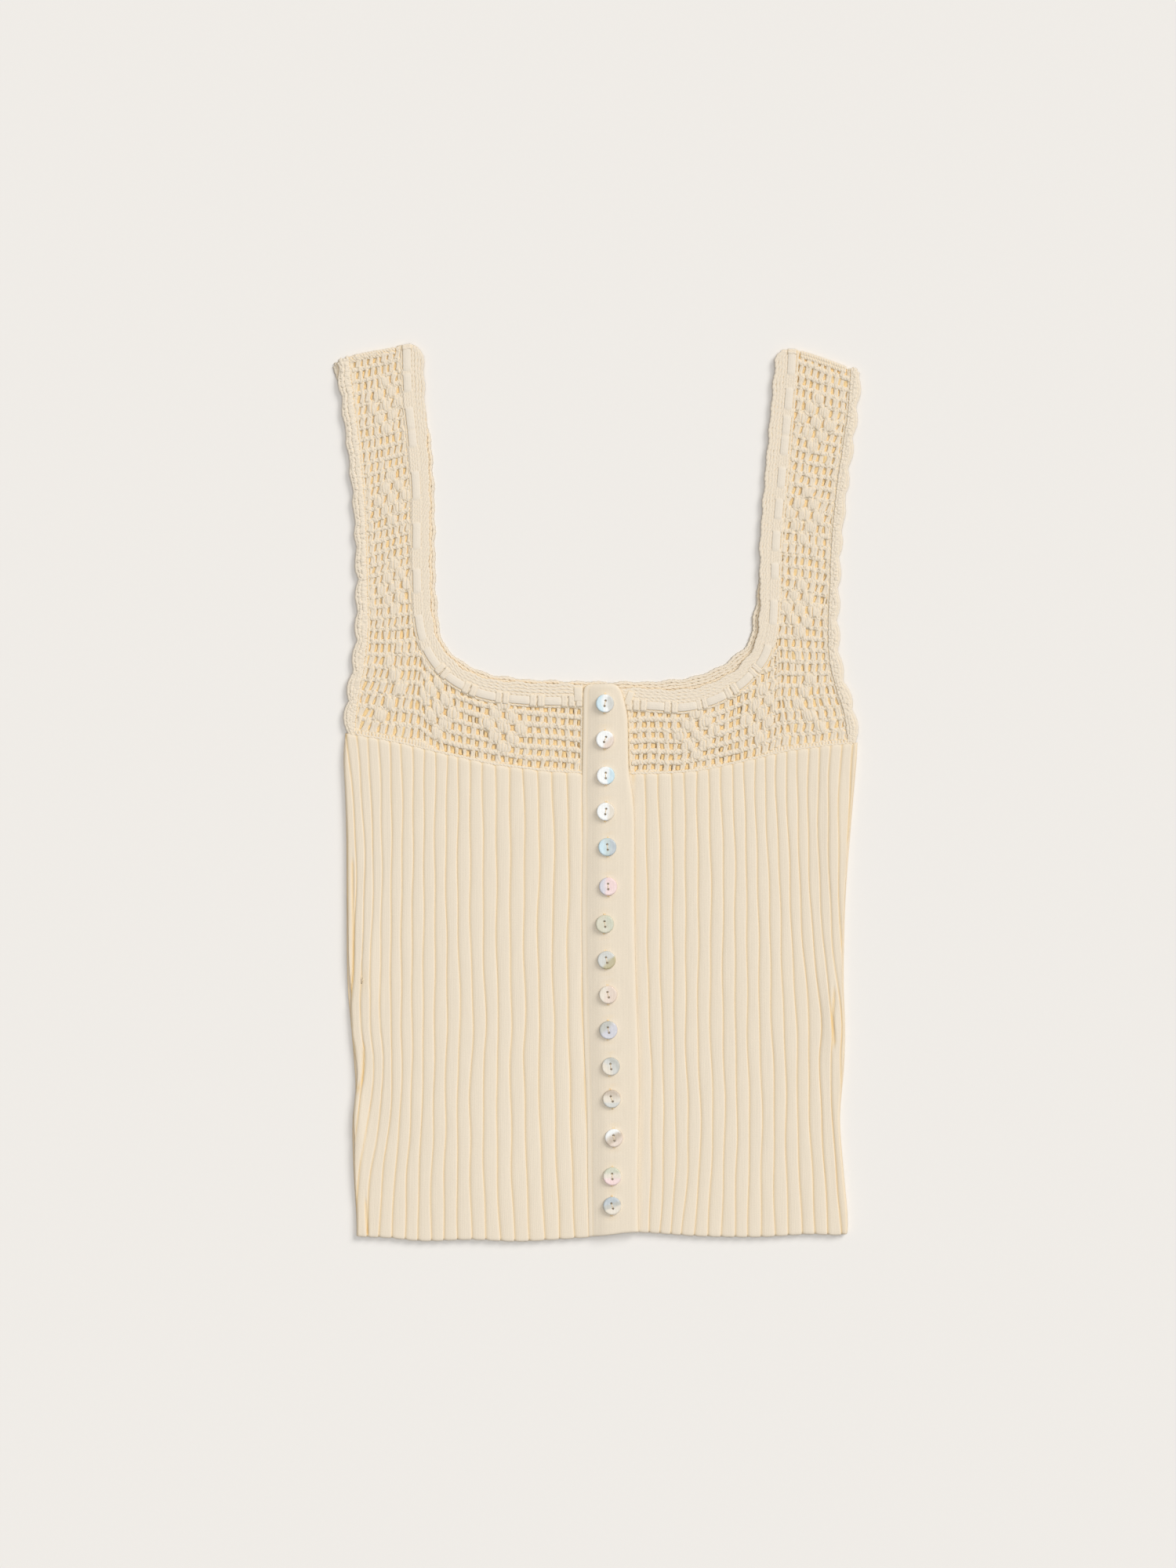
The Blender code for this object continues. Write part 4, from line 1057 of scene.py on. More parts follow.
def back_rib():
    """Back panel, whose ribs press on the floor."""
    samples = [rib + part for rib in range(BACK_RIBS) for part in BACK_SAMPLES] + [BACK_RIBS]
    count = np.unique(np.concatenate((samples, BACK_EDGE_SAMPLES, BACK_RIBS - BACK_EDGE_SAMPLES)))
    share = count / BACK_RIBS

    def across_at(along):
        stray = 0.5 * np.sin(along / 23.0 + count / 3.0) * np.sin(np.pi * share)
        return between(side_at(along, 1), side_at(along, 2), share) + stray

    across, along = rib_grid(row_shares(BACK_ROWS), len(count), across_at)
    from_side = np.minimum(*(np.abs(across - side_at(along, edge)) for edge in (1, 2)))
    from_hem = along - hem_at(across)
    profile = rib_profile(count)
    bottom = between(MIDDLE - CLEAR, 1 - profile, rounded(from_side, BACK_SIDE_RADIUS))
    bottom = bottom + 0.5 * (1 - rounded(from_hem, HEM_RADIUS))
    top = np.minimum(np.maximum(BACK_HIGH, bottom + 0.02), MIDDLE - 0.01)
    bottom = np.minimum(bottom, top - 0.01)
    along = along - BACK_HEM_WAVE * (profile - 0.6) * np.exp(-from_hem / 3.0)
    # Painted shade in the grooves, weaker than on the front.
    made = cloth_piece("back_rib", KNIT, "rib", across, along, top, bottom, count * WALES_PER_RIB,
                       groove_shade(count) * 0.8)
    return made, grid_area(across, along)


# ---- crochet -----------------------------------------------------------------------------------

CLIP_POINTS = 13             # places along a lattice line at which it is tested against an edge
SHORTEST = 0.2               # share of a lattice line that is worth keeping
POST_HALF = 0.46             # of a row, from the middle of a cell to the end of its post
HEAD_LOW, HEAD_HIGH = 0.72, 0.28     # of a row, below the middle of a cell
PUFF_STEP = 1.1              # turn from one loop of a puff to the next
LATTICE_COLUMNS, LATTICE_ROWS = (-2, 31), (0, 34)
TRIM_SPACING, TAPE_SPACING = 1.2, 1.1

# Braids: length of a wave, reach to each side, reach up, radius, squash.
SEAM_BRAID = (4.2, 0.30, 0.1, 0.75, 0.6)
NECK_BRAID = (5.4, 0.3, 0.1, 0.75, 0.55)
BACK_NECK_BRAID = (4.4, 0.35, 0.18, 0.62, 0.7)
ARMHOLE_BRAID = (5.0, 0.3, 0.08, 0.85, 0.5)
BAND_BRAID = (5.6, 0.3, 0.08, 0.95, 0.5)
EDGING_BRAID = (6.5, 0.18, 0.05, 1.1, 0.42)
BAR_BRAID = (6.0, 0.35, 0.08, 0.95, 0.4)
FOLD_COVER = (4.0, 0.3, 0.05, 0.9, 0.45)
# Along a shoulder fold: distance down from it, braid.
FOLD_BRAIDS = ((0.9, (3.3, 0.65, 0.15, 0.837, 0.6)), (2.8, (3.6, 0.65, 0.15, 0.837, 0.6)))
# Across a neck border: share of its width, length of a wave, drift, radius.
BORDER_BRAIDS = ((0.08, 6.4, 0.0, 0.85), (0.36, 8.6, 1.0, 0.9), (0.64, 7.4, 2.6, 0.95),
                 (0.93, 6.0, 2.0, 0.85))
# Between the threaded parts of a strap's ribbon: share of its width, drift.
BAR_DRIFTS = ((0.1, 0.0), (0.37, 2.0), (0.63, 4.0), (0.9, 1.0))
# Layers of stitches that fan out from an armhole edging's base: start and end as shares of its
# width, lean, size.
EDGING_LAYERS = ((0.15, 0.48, 0.16, 1.0), (0.40, 0.78, -0.16, 1.0), (0.68, 1.02, 0.10, 0.8))
# Sections of the trims: share of the width, share of the height.
TRIM_PROFILE = ((0.0, 0.45), (0.06, 0.85), (0.25, 1.0), (0.75, 1.0), (0.94, 0.85), (1.0, 0.45),
                (0.94, 0.0), (0.06, 0.0))
TAPE_PROFILE = ((0.0, 0.0), (0.05, 0.55), (0.16, 0.9), (0.5, 1.12), (0.84, 0.9), (0.95, 0.55),
                (1.0, 0.0), (0.93, -0.7), (0.5, -0.9), (0.07, -0.7))

UNEVEN = rng.normal(0.0, 1.0, (2, 48, 48))


def sway(axis, column, row):
    """How far the lattice strays from its even place: a slow drift and a small chance shift."""
    c, r = column + 6.0, row + 6.0
    i, k = np.floor(c).astype(int), np.floor(r).astype(int)
    table, u = UNEVEN[axis], c - i
    spot = between(between(table[i, k], table[i + 1, k], u),
                   between(table[i, k + 1], table[i + 1, k + 1], u), r - k)
    if axis:
        return 0.22 * spot + 0.25 * np.sin(0.8 * c + 0.3 * r)
    return 0.24 * spot + 0.45 * np.sin(0.9 * r + 0.25 * c)


def place(half, column, row):
    """Plan place of a point of the lattice, as two arrays."""
    low, high, middle, slope = (looked_up(row, half.strap, i) for i in (1, 2, 3, 4))
    strap_x = between(low, high, (column + 0.5) / STRAP_COLUMNS)
    strap_y = middle + slope * (strap_x - (low + high) / 2)
    yoke_x, solid, pitch = (looked_up(column, COLUMNS, i) for i in (1, half.depth, half.depth + 1))
    if half is RIGHT:
        yoke_x = 2 * MIRROR - yoke_x
    yoke_y = seam_at(yoke_x) + solid + (row + 0.5) * pitch
    share = step_up(column, *BLEND_COLUMNS) * (1 - step_up(row, *BLEND_ROWS))
    return (between(strap_x, yoke_x, share) + sway(0, column, row),
            between(strap_y, yoke_y, share) + sway(1, column, row))


def pitch_at(half, column, row):
    """Distance across from one column to the next."""
    return np.abs(place(half, column + 0.5, row)[0] - place(half, column - 0.5, row)[0])


def puff_cells():
    """Cells that hold a puff, as an array of column and row."""
    steps = range(-2, 3)
    diamond = [(i, k) for i in steps for k in steps if abs(i) + abs(k) in (0, 2)]
    cells = {(column + i, row + k) for column, row in DIAMONDS for i, k in diamond}
    return np.array(sorted(cells.union(CHEVRON)), float)


def lattice_paths(ends, half, polygon, stations):
    """Plan points along lattice lines, cut at the polygon's edge, and which lines are left."""
    def spots(ends, t):
        column0, row0, column1, row1 = (value[:, None] for value in ends)
        return place(half, between(column0, column1, t), between(row0, row1, t))

    t = np.linspace(0.0, 1.0, CLIP_POINTS)
    within = inside(polygon, *spots(ends, t))
    first = t[np.argmax(within, axis=1)]
    last = t[-1 - np.argmax(within[:, ::-1], axis=1)]
    kept = within.any(axis=1) & (last - first > SHORTEST)
    t = between(first[kept, None], last[kept, None], np.linspace(0.0, 1.0, stations))
    return *spots([value[kept] for value in ends], t), t, kept


def front_depth_shade(height):
    """Painted shade: warm tint on the sides of the front's yarn that face the space between the
    layers.
    """
    return 0.9 * (1 - step_up(height, 2.0, 2.7))


def back_depth_shade(height):
    """Painted shade: warm tint on top of the back's yarn, which is seen in shadow through the
    front's holes.
    """
    return 0.95 * step_up(height, 1.0, 1.6)


def chance(spread, amount, middle=0.0):
    """One chance value for each strand."""
    return rng.normal(middle, spread, (amount, 1))


def row_width(column):
    """Width of a row of chains; more in the yoke."""
    return 3.55 + 0.6 * step_up(column, 9.0, 18.0)


class Lattice:
    """One crochet mesh with its rows of chains and its puffs."""

    def __init__(self, layer):
        self.layer = layer
        self.depth = front_depth_shade if layer is FRONT else back_depth_shade
        self.mesh, self.chain, self.puffs = Piece(), Piece(), Piece()

    def weave(self, half, polygon, offset=0.0):
        """Posts and rows of chains for one side; offset moves the columns by part of a cell."""
        columns, rows = np.arange(*LATTICE_COLUMNS) + offset, np.arange(*LATTICE_ROWS)
        c, r = (grid.ravel().astype(float) for grid in np.meshgrid(columns, rows, indexing="ij"))
        self.posts(half, polygon, c + 0.5, r)
        self.rows(half, polygon, c, r)
        if self.layer is FRONT:
            self.heads(half, polygon, c + 0.5, r)

    def posts(self, half, polygon, column, row):
        """Posts of two plies that twist slightly; each row of them leans its own way."""
        squash, ends = self.layer.squash, (column, row - POST_HALF, column, row + POST_HALF)
        x, y, t, kept = lattice_paths(ends, half, polygon, self.layer.stations)
        amount = len(x)
        column, row = column[kept], row[kept]
        lean = 0.50 - 0.38 * step_up(column, 8.0, 14.0) + 0.12 * np.sin(1.7 * row)
        lean = (lean[:, None] + chance(0.18, amount)) * (t - 0.5) * 2
        x = x + lean + chance(0.18, amount) * np.sin(np.pi * t)
        share = 0.80 - 0.17 * step_up(column, 9.0, 15.0)
        width = (share * pitch_at(half, column, row))[:, None]
        width = width * np.clip(chance(0.12, amount, 1.0), 0.78, 1.3)
        swell = 1.08 + 0.15 * np.cos(2 * np.pi * t)
        height = np.broadcast_to(self.layer.mesh + chance(0.06, amount), t.shape)
        if self.layer is BACK:
            add_strands(self.mesh, np.stack((x, y, height), axis=-1), width / 2 * swell,
                        squash=squash, lobes=0.10, twist=0.55, start=rng.uniform(0, np.pi, amount),
                        shade=self.depth)
            return
        turn = chance(0.6, amount) + chance(0.6, amount) * (t - 0.5) * 2
        for ply in (1, -1):
            beside = ply * 0.19 * width * swell * np.cos(turn)
            lift = ply * 0.08 * np.sin(turn)
            add_strands(self.mesh, np.stack((x + beside, y, height + lift), axis=-1),
                        width * 0.34 * swell, squash=squash * 1.1, lobes=0.06, twist=0.5,
                        start=rng.uniform(0, np.pi, amount), shade=self.depth)

    def rows(self, half, polygon, column, row):
        """A row of stitches: a core with two yarns crossing each other on it."""
        layer, ends = self.layer, (column - 0.5, row - 0.5, column + 0.5, row - 0.5)
        x, y, t, kept = lattice_paths(ends, half, polygon, layer.stations)
        amount = len(x)
        thick = row_width(column[kept])[:, None] * np.clip(chance(0.10, amount, 1.0), 0.8, 1.25)
        core = [0, layer.stations // 2, layer.stations - 1]
        paths = np.stack((x, y, np.full(x.shape, layer.mesh)), axis=-1)[:, core]
        add_strands(self.chain, paths, thick * 0.43, squash=layer.squash * 0.8, shade=self.depth)
        way = np.stack((x[:, -1] - x[:, 0], y[:, -1] - y[:, 0]), axis=1)
        way /= np.linalg.norm(way, axis=1)[:, None]
        phase = layer.turns * np.pi * t + chance(0.35, amount)
        for strand in (1, -1):
            swing = strand * np.cos(phase) * thick * 0.20
            lift = strand * np.sin(phase) * thick * 0.03
            height = layer.mesh + lift + chance(0.04, amount) + 0.10
            paths = np.stack((x - way[:, 1:] * swing, y + way[:, :1] * swing, height), axis=-1)
            add_strands(self.chain, paths, thick * 0.28 * rng.uniform(0.92, 1.1, (amount, 1)),
                        layer.sides, layer.squash * 1.1, shade=self.depth)

    def heads(self, half, polygon, column, row):
        """The head of each stitch, which wraps the row under it."""
        ends = (column, row - HEAD_LOW, column, row - HEAD_HIGH)
        x, y, t, kept = lattice_paths(ends, half, polygon, 5)
        thick = row_width(column[kept])[:, None]
        x = x + chance(0.35, len(x), 0.15) * (t - 0.5) * thick
        height = self.layer.mesh + thick * (0.04 + 0.06 * np.sin(np.pi * t))
        add_strands(self.chain, np.stack((x, y, height), axis=-1), thick * 0.25, squash=0.55,
                    lobes=0.06, twist=1.2, start=rng.uniform(0, np.pi, len(x)))

    def puff(self, half, polygon, offset=0.0):
        """Bundles of loops that fill a cell."""
        column, row = puff_cells().T
        column = column + offset
        keep = inside(polygon, *place(half, column, row))
        column, row = column[keep], row[keep]
        t = np.linspace(0.0, 1.0, self.layer.stations)
        arch = np.sin(np.pi * t)
        radius = (pitch_at(half, column, row) * 0.23 + 0.12)[:, None] * (0.92 + 0.16 * arch)
        for loop, side in enumerate(np.linspace(-1.0, 1.0, self.layer.loops)):
            c = column[:, None] + side * (0.25 + 0.33 * arch ** 0.8) + chance(0.05, len(column))
            r = row[:, None] - 0.52 + 1.04 * t + chance(0.05, len(column))
            bulge = self.layer.bulge * arch * (1 - 0.5 * side * side)
            height = self.layer.mesh + 0.12 + bulge + chance(0.06, len(column))
            paths = np.stack((*place(half, c, r), height), axis=-1)
            add_strands(self.puffs, paths, radius, self.layer.sides, self.layer.squash * 1.1,
                        lobes=0.06, twist=0.8, start=loop * PUFF_STEP, shade=self.depth)

    def foundation(self, half, polygon, last_column, offset=0.0):
        """Solid first row of stitches over the seam, where the rib's stitches are picked up."""
        c = np.arange(-1.5, last_column, 0.40) + offset
        x, y = place(half, c, np.full(len(c), -0.5))
        low = seam_at(x) + 0.5
        y = np.maximum(y, low)
        keep = inside(polygon, x, y)
        x, y, low = x[keep], y[keep], low[keep]
        layer, seam = self.layer, self.layer.seam
        height = layer.mesh + seam.lift
        strokes(self.chain, np.column_stack((x, low - seam.reach)), np.column_stack((x, y + 0.6)),
                height, radius=1.15, arch=0.1, stations=4, sides=layer.sides, squash=0.5)
        line = even(np.column_stack((x, low - seam.reach * 0.4)), 1.0)
        braid(self.chain, line, SEAM_BRAID, height + seam.braid, layer.sides, layer.points)

    def fold_rows(self, half, low_across, high_across):
        """Dense rows of stitches along the shoulder fold."""
        for (down, form), height in zip(FOLD_BRAIDS, self.layer.fold_heights):
            fold = even(fold_between(half, low_across, high_across, down), 1.0)
            braid(self.chain, fold, form, height, self.layer.sides, self.layer.points)

    def finish(self, node, floor=None):
        """The mesh, the chains and the puffs as objects, of which the mesh stands for the node."""
        return [self.mesh.finish(node + "_mesh", YARN, (node,), floor=floor),
                self.chain.finish(node + "_chains", YARN, floor=floor),
                self.puffs.finish(node + "_puffs", YARN, floor=floor)]


# ---- edgings, borders and ribbons --------------------------------------------------------------

BORDER_ROOM = 0.4            # least width of a border at its rounded corner
SHORTEST_UNDER = 1.5         # part of a ribbon that stitches can cross
BAR_SHARE = 0.16             # of the spacing, from the middle of a pair of stitches to each of them
TAPE_HALF, TAPE_SWELL = 0.36, 0.10       # half of a ribbon's thickness, and more of it on top
TAPE_DRAWN, TAPE_SPREAD = 0.90, 0.08     # its width under the stitches, and more of it on top
TAB_LOW, TAB_TOP, TAB_SWELL = 3.3, 3.35, 0.6     # underside and edge of its end, and its middle

def neck_curves(rows, side):
    """Outer and inner edges of the border, both edges of the ribbon, and the edge of the mesh."""
    curve = smooth(rows, 6)
    ribbon_in = SEAM_GAP + RIBBON_WIDTH
    return [curve] + [shifted(curve, side, curve[:, 2] + extra)
                      for extra in (0.0, SEAM_GAP, ribbon_in, ribbon_in + SEAM_GAP)]


def armhole_curve(half, layer):
    """Outer edge of the armhole; the back's lies further in, and flares at the left shoulder."""
    curve = smooth(half.armhole, 6)
    if layer is BACK:
        curve = shifted(curve, -half.sign, BACK_INSET)
        reach = SHOULDER_LEFT[0][1] - CORNER_START
        flare = np.clip((curve[:, 1] - CORNER_START) / reach, 0.0, CORNER_LIMIT)
        curve[:, 0] += half.sign * half.peek * flare ** 2
    return curve


def armhole_edging(half, layer):
    """Scalloped edging: a dense base with low, overlapping stitches that fan out to its edge."""
    curve, form = armhole_curve(half, layer), layer.edging
    run = run_of(curve)
    pitch = run[-1] / round(run[-1] / SCALLOP_PITCH)
    wave = SCALLOP_HEIGHT * (np.abs(np.sin(np.pi * run / pitch)) ** 0.8 - 0.6)
    lines = (shifted(curve, half.sign, wave), shifted(curve, -half.sign, curve[:, 2]))
    outer, inner = paired(lines, 1.0, half)
    if layer is FRONT:
        outer, inner = (np.vstack((line[0] + (line[0] - line[1]) * 1.6, line))
                        for line in (outer, inner))
    piece, fan = Piece(), inner - outer
    add_strip(piece, outer, inner, run_of(outer), TRIM_PROFILE, form.low, form.high - form.low)
    root, reach = outer[::form.skip], fan[::form.skip]
    amount = len(root)
    slip = rng.normal(0.0, 0.22, (amount, 2))
    for first, last, lean, size in EDGING_LAYERS:
        across = np.stack((-reach[:, 1], reach[:, 0]), axis=1) * lean
        starts = root + reach * (first + rng.uniform(0.0, 0.06, (amount, 1))) + slip * 0.5
        ends = root + reach * (last + rng.uniform(-0.05, 0.05, (amount, 1))) + across
        height = form.top + chance(0.05, amount)
        radius = form.radius * rng.uniform(0.85, 1.05, (amount, 1)) * size
        strokes(piece, starts, ends, height, radius, arch=0.12, stations=4, sides=layer.sides,
                squash=0.34)
    braid(piece, outer + fan * 0.08, EDGING_BRAID, form.top - 0.1, layer.sides, 7)
    node = f"armhole_edging_{layer.where}_{half.label}"
    return piece.finish(node + "_stitches", EDGE_YARN, (node,), floor=0.0)


def wavy_edge(run):
    """Slow and quick waves of a neck border's free edge."""
    return 0.55 * np.sin(run * 2 * np.pi / 13.8) + 0.3 * np.sin(run * 2 * np.pi / 23.0 + 1.0)


def neck_border(node, outer, inner, layer):
    """Narrow border of the neck: rows of crossing yarns on a dense base, with a wavy free edge."""
    form, piece = layer.border, Piece()
    fan = inner - outer
    unit = fan / np.linalg.norm(fan, axis=1)[:, None]
    outer = outer + unit * wavy_edge(run_of(outer))[:, None] * 0.8
    run = run_of(outer)
    from_fold = run[-1] - run if layer is FRONT else np.minimum(run, run[-1] - run)
    cut = CORNER_RADIUS * (1 - rounded(from_fold, CORNER_RADIUS))
    room = np.linalg.norm(inner - outer, axis=1) - BORDER_ROOM
    outer = outer + unit * np.minimum(cut, room)[:, None]
    fan = inner - outer
    add_strip(piece, outer, inner, run_of(outer), TRIM_PROFILE, form.low, form.high - form.low)
    size = np.clip(np.linalg.norm(fan, axis=1).mean() / 6.0, 0.7, 1.1)
    for share, wave, drift, radius in BORDER_BRAIDS:
        yarns = (wave, 0.42 * size, 0.08, radius * size, 0.38)
        braid(piece, outer + fan * share, yarns, form.top, layer.sides, form.points,
              drift + rng.normal(0.0, 0.5))
    return piece.finish(node + "_stitches", EDGE_YARN, (node,), floor=0.0)


def tape_end(tape, low, high, width):
    """The turned-up end of a ribbon: a flat tab between two plan points."""
    low, high = np.array(low), np.array(high)
    way = (high - low) / np.linalg.norm(high - low)
    beside = np.array((way[1], -way[0])) * width / 2
    t = np.array((0.0, 0.03, 0.1, 0.5, 0.9, 0.97, 1.0))[:, None]
    s = np.array((-1.0, -0.9, -0.7, 0.0, 0.7, 0.9, 1.0))
    flat = (low + (high - low) * t)[:, None] + beside * s[:, None]
    edge = np.minimum(rounded(1 - np.abs(s), 0.35), rounded(np.minimum(t, 1 - t), 0.12))
    top, bottom = TAB_TOP + TAB_SWELL * edge, np.full(edge.shape, TAB_LOW)
    uv = np.stack(np.broadcast_arrays(t * 8.0, s / 2 + 0.5), axis=-1)
    # Painted shade towards the tab's rounded edges.
    tape.add_slab(np.dstack((flat, top)), np.dstack((flat, bottom)), uv, 0.10 + 0.5 * (1 - edge))


def over_ribbon(run, centre, overs):
    """How far the ribbon is on top at each point, from 0 to 1, and the spans where it isn't."""
    over, spans = np.zeros(len(run)), []
    for x, y, length in overs:
        at = run[np.argmin(np.hypot(centre[:, 0] - x, centre[:, 1] - y))]
        spans.append((at - length / 2, at + length / 2))
        over = np.maximum(over, step_up(length / 2 + 1.2 - np.abs(run - at), 0.0, 2.2))
    edges = [0.0, *np.ravel(sorted(spans)), run[-1]]
    under = [pair for pair in zip(edges[::2], edges[1::2]) if pair[1] - pair[0] >= SHORTEST_UNDER]
    return over, under


def ribbon(name, outer, inner, overs, layer, end=None):
    """Threaded ribbon, and the stitches that it passes under."""
    form, tape, bars = layer.tape, Piece(), Piece()
    centre = (outer + inner) / 2
    run = run_of(centre)
    over, spans = over_ribbon(run, centre, overs)
    # Where stitches cross over the ribbon it takes painted shade.
    add_strip(tape, outer, inner, run, TAPE_PROFILE, form.low + form.rise * over,
              TAPE_HALF + TAPE_SWELL * over, TAPE_DRAWN + TAPE_SPREAD * over,
              (0.15 * (1 - over))[None])
    if end is not None:
        tape_end(tape, *end)
    made = [tape.finish(name + "_tape", TAPE, (name,), "ribbon", floor=0.0)]
    for low, high in spans:
        if np.interp((low + high) / 2, run, centre[:, 1]) > BAR_TOP:
            stops = np.linspace(low - 0.9, high + 0.9, max(8, round((high - low) / 0.7)))
            for share, drift in BAR_DRIFTS:
                line = rows_at(between(outer, inner, share), run, stops)
                braid(bars, line, BAR_BRAID, form.braid, layer.sides, form.points, drift)
            continue
        amount = max(1, round((high - low) / BAR_SPACING))
        size = (high - low) / amount
        middles = low + (high - low) * (np.arange(amount) + 0.5) / amount
        stops = np.concatenate((middles - size * BAR_SHARE, middles + size * BAR_SHARE))
        a, b = rows_at(outer, run, stops), rows_at(inner, run, stops)
        reach = (b - a) * 0.16
        strokes(bars, a - reach, b + reach, form.bar, size * 0.32, form.arch, stations=7,
                sides=layer.sides, squash=0.32)
    if layer is FRONT:
        fold_way = (outer[-1] - outer[-2]) / np.linalg.norm(outer[-1] - outer[-2])
        for back, height in ((0.3, 3.3), (1.6, 3.6)):
            cover = np.linspace(outer[-1] - fold_way * back, inner[-1] - fold_way * back, 9)
            braid(bars, cover, FOLD_COVER, height)
    return made + [bars.finish(name + "_bars", EDGE_YARN, (), floor=0.0)]


# ---- yokes -------------------------------------------------------------------------------------

MESH_GROWTH = 0.5            # of the mesh under its neighbours
SEAM_LAP = 0.2               # from the seam up to the lattice


def seam_line(start, end, count):
    """The seam between two places across, as the lower edge of a mesh."""
    across = np.linspace(start, end, count)
    return np.stack((across, seam_at(across) + SEAM_LAP), axis=1)


def front_outline(half):
    """Edge of a front yoke's mesh in plan, grown a little under its neighbours."""
    neck = shifted(neck_curves(half.neck, half.sign)[4], half.sign, -MESH_GROWTH)
    neck = cut_at_fold(neck, half)[:, :2]
    arm = smooth(half.armhole, 4)
    arm = cut_at_fold(shifted(arm, -half.sign, arm[:, 2] + SEAM_GAP - MESH_GROWTH), half)[:, :2]
    fold = fold_between(half, neck[-1, 0], arm[-1, 0], 1.2)
    return np.vstack((seam_line(arm[0, 0], half.yoke_end, 24), neck, fold, arm[::-1]))


def front_yoke(half):
    """One front yoke with its strap and everything sewn to it."""
    where = f"front_{half.label}"
    lines = neck_curves(half.neck, half.sign)
    border = paired(lines[:2], TRIM_SPACING, half)
    tape_lines = paired(lines[2:4], TAPE_SPACING, half)
    neck_line, = paired((shifted(lines[4], half.sign, 0.3),), TRIM_SPACING, half)
    arm = smooth(half.armhole, 6)
    arm_line, = paired((shifted(arm, -half.sign, arm[:, 2] + 0.7),), TRIM_SPACING, half)
    post_y = np.arange(seam_at(half.yoke_end) - 0.9, 52.0, 1.0)
    post_line = np.stack((band_at(post_y, half.edge) + half.sign * 0.9, post_y), axis=1)
    outline = front_outline(half)

    crochet = Lattice(FRONT)
    crochet.weave(half, outline)
    crochet.puff(half, outline)
    crochet.foundation(half, outline, 29.5)
    braid(crochet.chain, neck_line, NECK_BRAID, FRONT.mesh + 0.3)
    braid(crochet.chain, arm_line, ARMHOLE_BRAID, FRONT.mesh + 0.1)
    braid(crochet.chain, post_line, BAND_BRAID, FRONT.mesh + 0.2)
    arm_end = cut_at_fold(shifted(smooth(half.armhole, 4), -half.sign, 5.0), half)[-1, 0]
    crochet.fold_rows(half, *sorted((neck_line[-1, 0], arm_end)))
    mesh, *sewn_on = crochet.finish(f"front_yoke_{half.label}")
    sewn_on += [armhole_edging(half, FRONT), neck_border(f"neck_edging_{where}", *border, FRONT),
                *ribbon(f"ribbon_{where}", *tape_lines, half.overs, FRONT, half.ribbon_end)]


def back_yoke():
    """Back yoke with both straps; its posts lie under the front's holes."""
    lines = neck_curves([row + (BACK_BORDER,) for row in NECK_BACK], 1)
    border = paired(lines[:2], TRIM_SPACING, LEFT, RIGHT)
    tape_lines = paired(lines[2:4], TAPE_SPACING, LEFT, RIGHT)
    neck, = paired((shifted(lines[4], 1, -MESH_GROWTH),), 1.5, LEFT, RIGHT)
    arms = []
    for half in (LEFT, RIGHT):
        curve = armhole_curve(half, BACK)
        curve = shifted(curve, -half.sign, curve[:, 2] + SEAM_GAP - MESH_GROWTH)
        arms.append(cut_at_fold(curve, half)[:, :2])
    left_arm, right_arm = arms
    outline = np.vstack((
        seam_line(left_arm[0, 0], right_arm[0, 0], 60), right_arm,
        fold_between(RIGHT, right_arm[-1, 0], neck[-1, 0], 1.2), neck[::-1],
        fold_between(LEFT, neck[0, 0], left_arm[-1, 0], 1.2), left_arm[::-1]))

    crochet = Lattice(BACK)
    for half in (LEFT, RIGHT):
        part = half_of(outline, MIRROR, half.sign)
        crochet.weave(half, part, 0.5)
        crochet.puff(half, part, 0.5)
        crochet.foundation(half, part, 31.0, 0.2)
    braid(crochet.chain, neck, BACK_NECK_BRAID, 0.8, BACK.sides, 5)
    crochet.fold_rows(LEFT, left_arm[-1, 0], neck[0, 0])
    crochet.fold_rows(RIGHT, neck[-1, 0], right_arm[-1, 0])
    mesh, *sewn_on = crochet.finish("back_yoke", floor=0.0)
    overs = [(x + half.sign * 1.0, y + 2.0, size) for half in (LEFT, RIGHT)
             for x, y, size in half.overs[::2]]
    sewn_on += [armhole_edging(LEFT, BACK), armhole_edging(RIGHT, BACK),
                neck_border("neck_edging_back", *border, BACK),
                *ribbon("ribbon_back", *tape_lines, overs, BACK)]


# ---- button band -------------------------------------------------------------------------------

BAND_SHARES = np.array((0.0, 0.02, 0.045, 0.07, 0.10, 0.13, 0.17, 0.22, 0.30, 0.40, 0.50, 0.60,
                        0.70, 0.80, 0.88, 0.93, 0.96, 0.98, 0.992, 1.0))
UNDER_SHARES = np.array((0.0, 0.04, 0.12, 0.5, 0.88, 0.96, 1.0))
BAND_LAP = 0.4               # of the band over the rib's edge
BAND_THICKNESS = 1.7
BAND_SEWN, BAND_CLIMB = 3.85, 2.27   # height of its top at the seam, and its rise from there
ON_UNDER_BAND, UNDER_TOP = 7.2, 4.4  # from its left edge to the under band, and over that
DENT_PLACE, DENT, DENT_PAINTED_SHADE = 7.6, 0.40, 0.28      # puckers above and below a button: place, depth and painted shade
BUTTON_SWELL = 0.22          # of the band under a button
HOLE_END_PLACE = 5.6         # from a button's middle to the end of its buttonhole
# The under band's left edge, its right edge above the bend, the place along of the bend, and how
# far it stays back from the upper band's edge below that.
UNDER_LEFT, UNDER_RIGHT, UNDER_BEND, UNDER_SHORT = -0.6, 12.0, 10.9, 2.2
BAND_STITCHES = 2.9          # from the band's left edge to the line where it is sewn on
BAND_END, HEM_BEND = -260.0, 14.0    # its straight end, and how far up that follows the hem


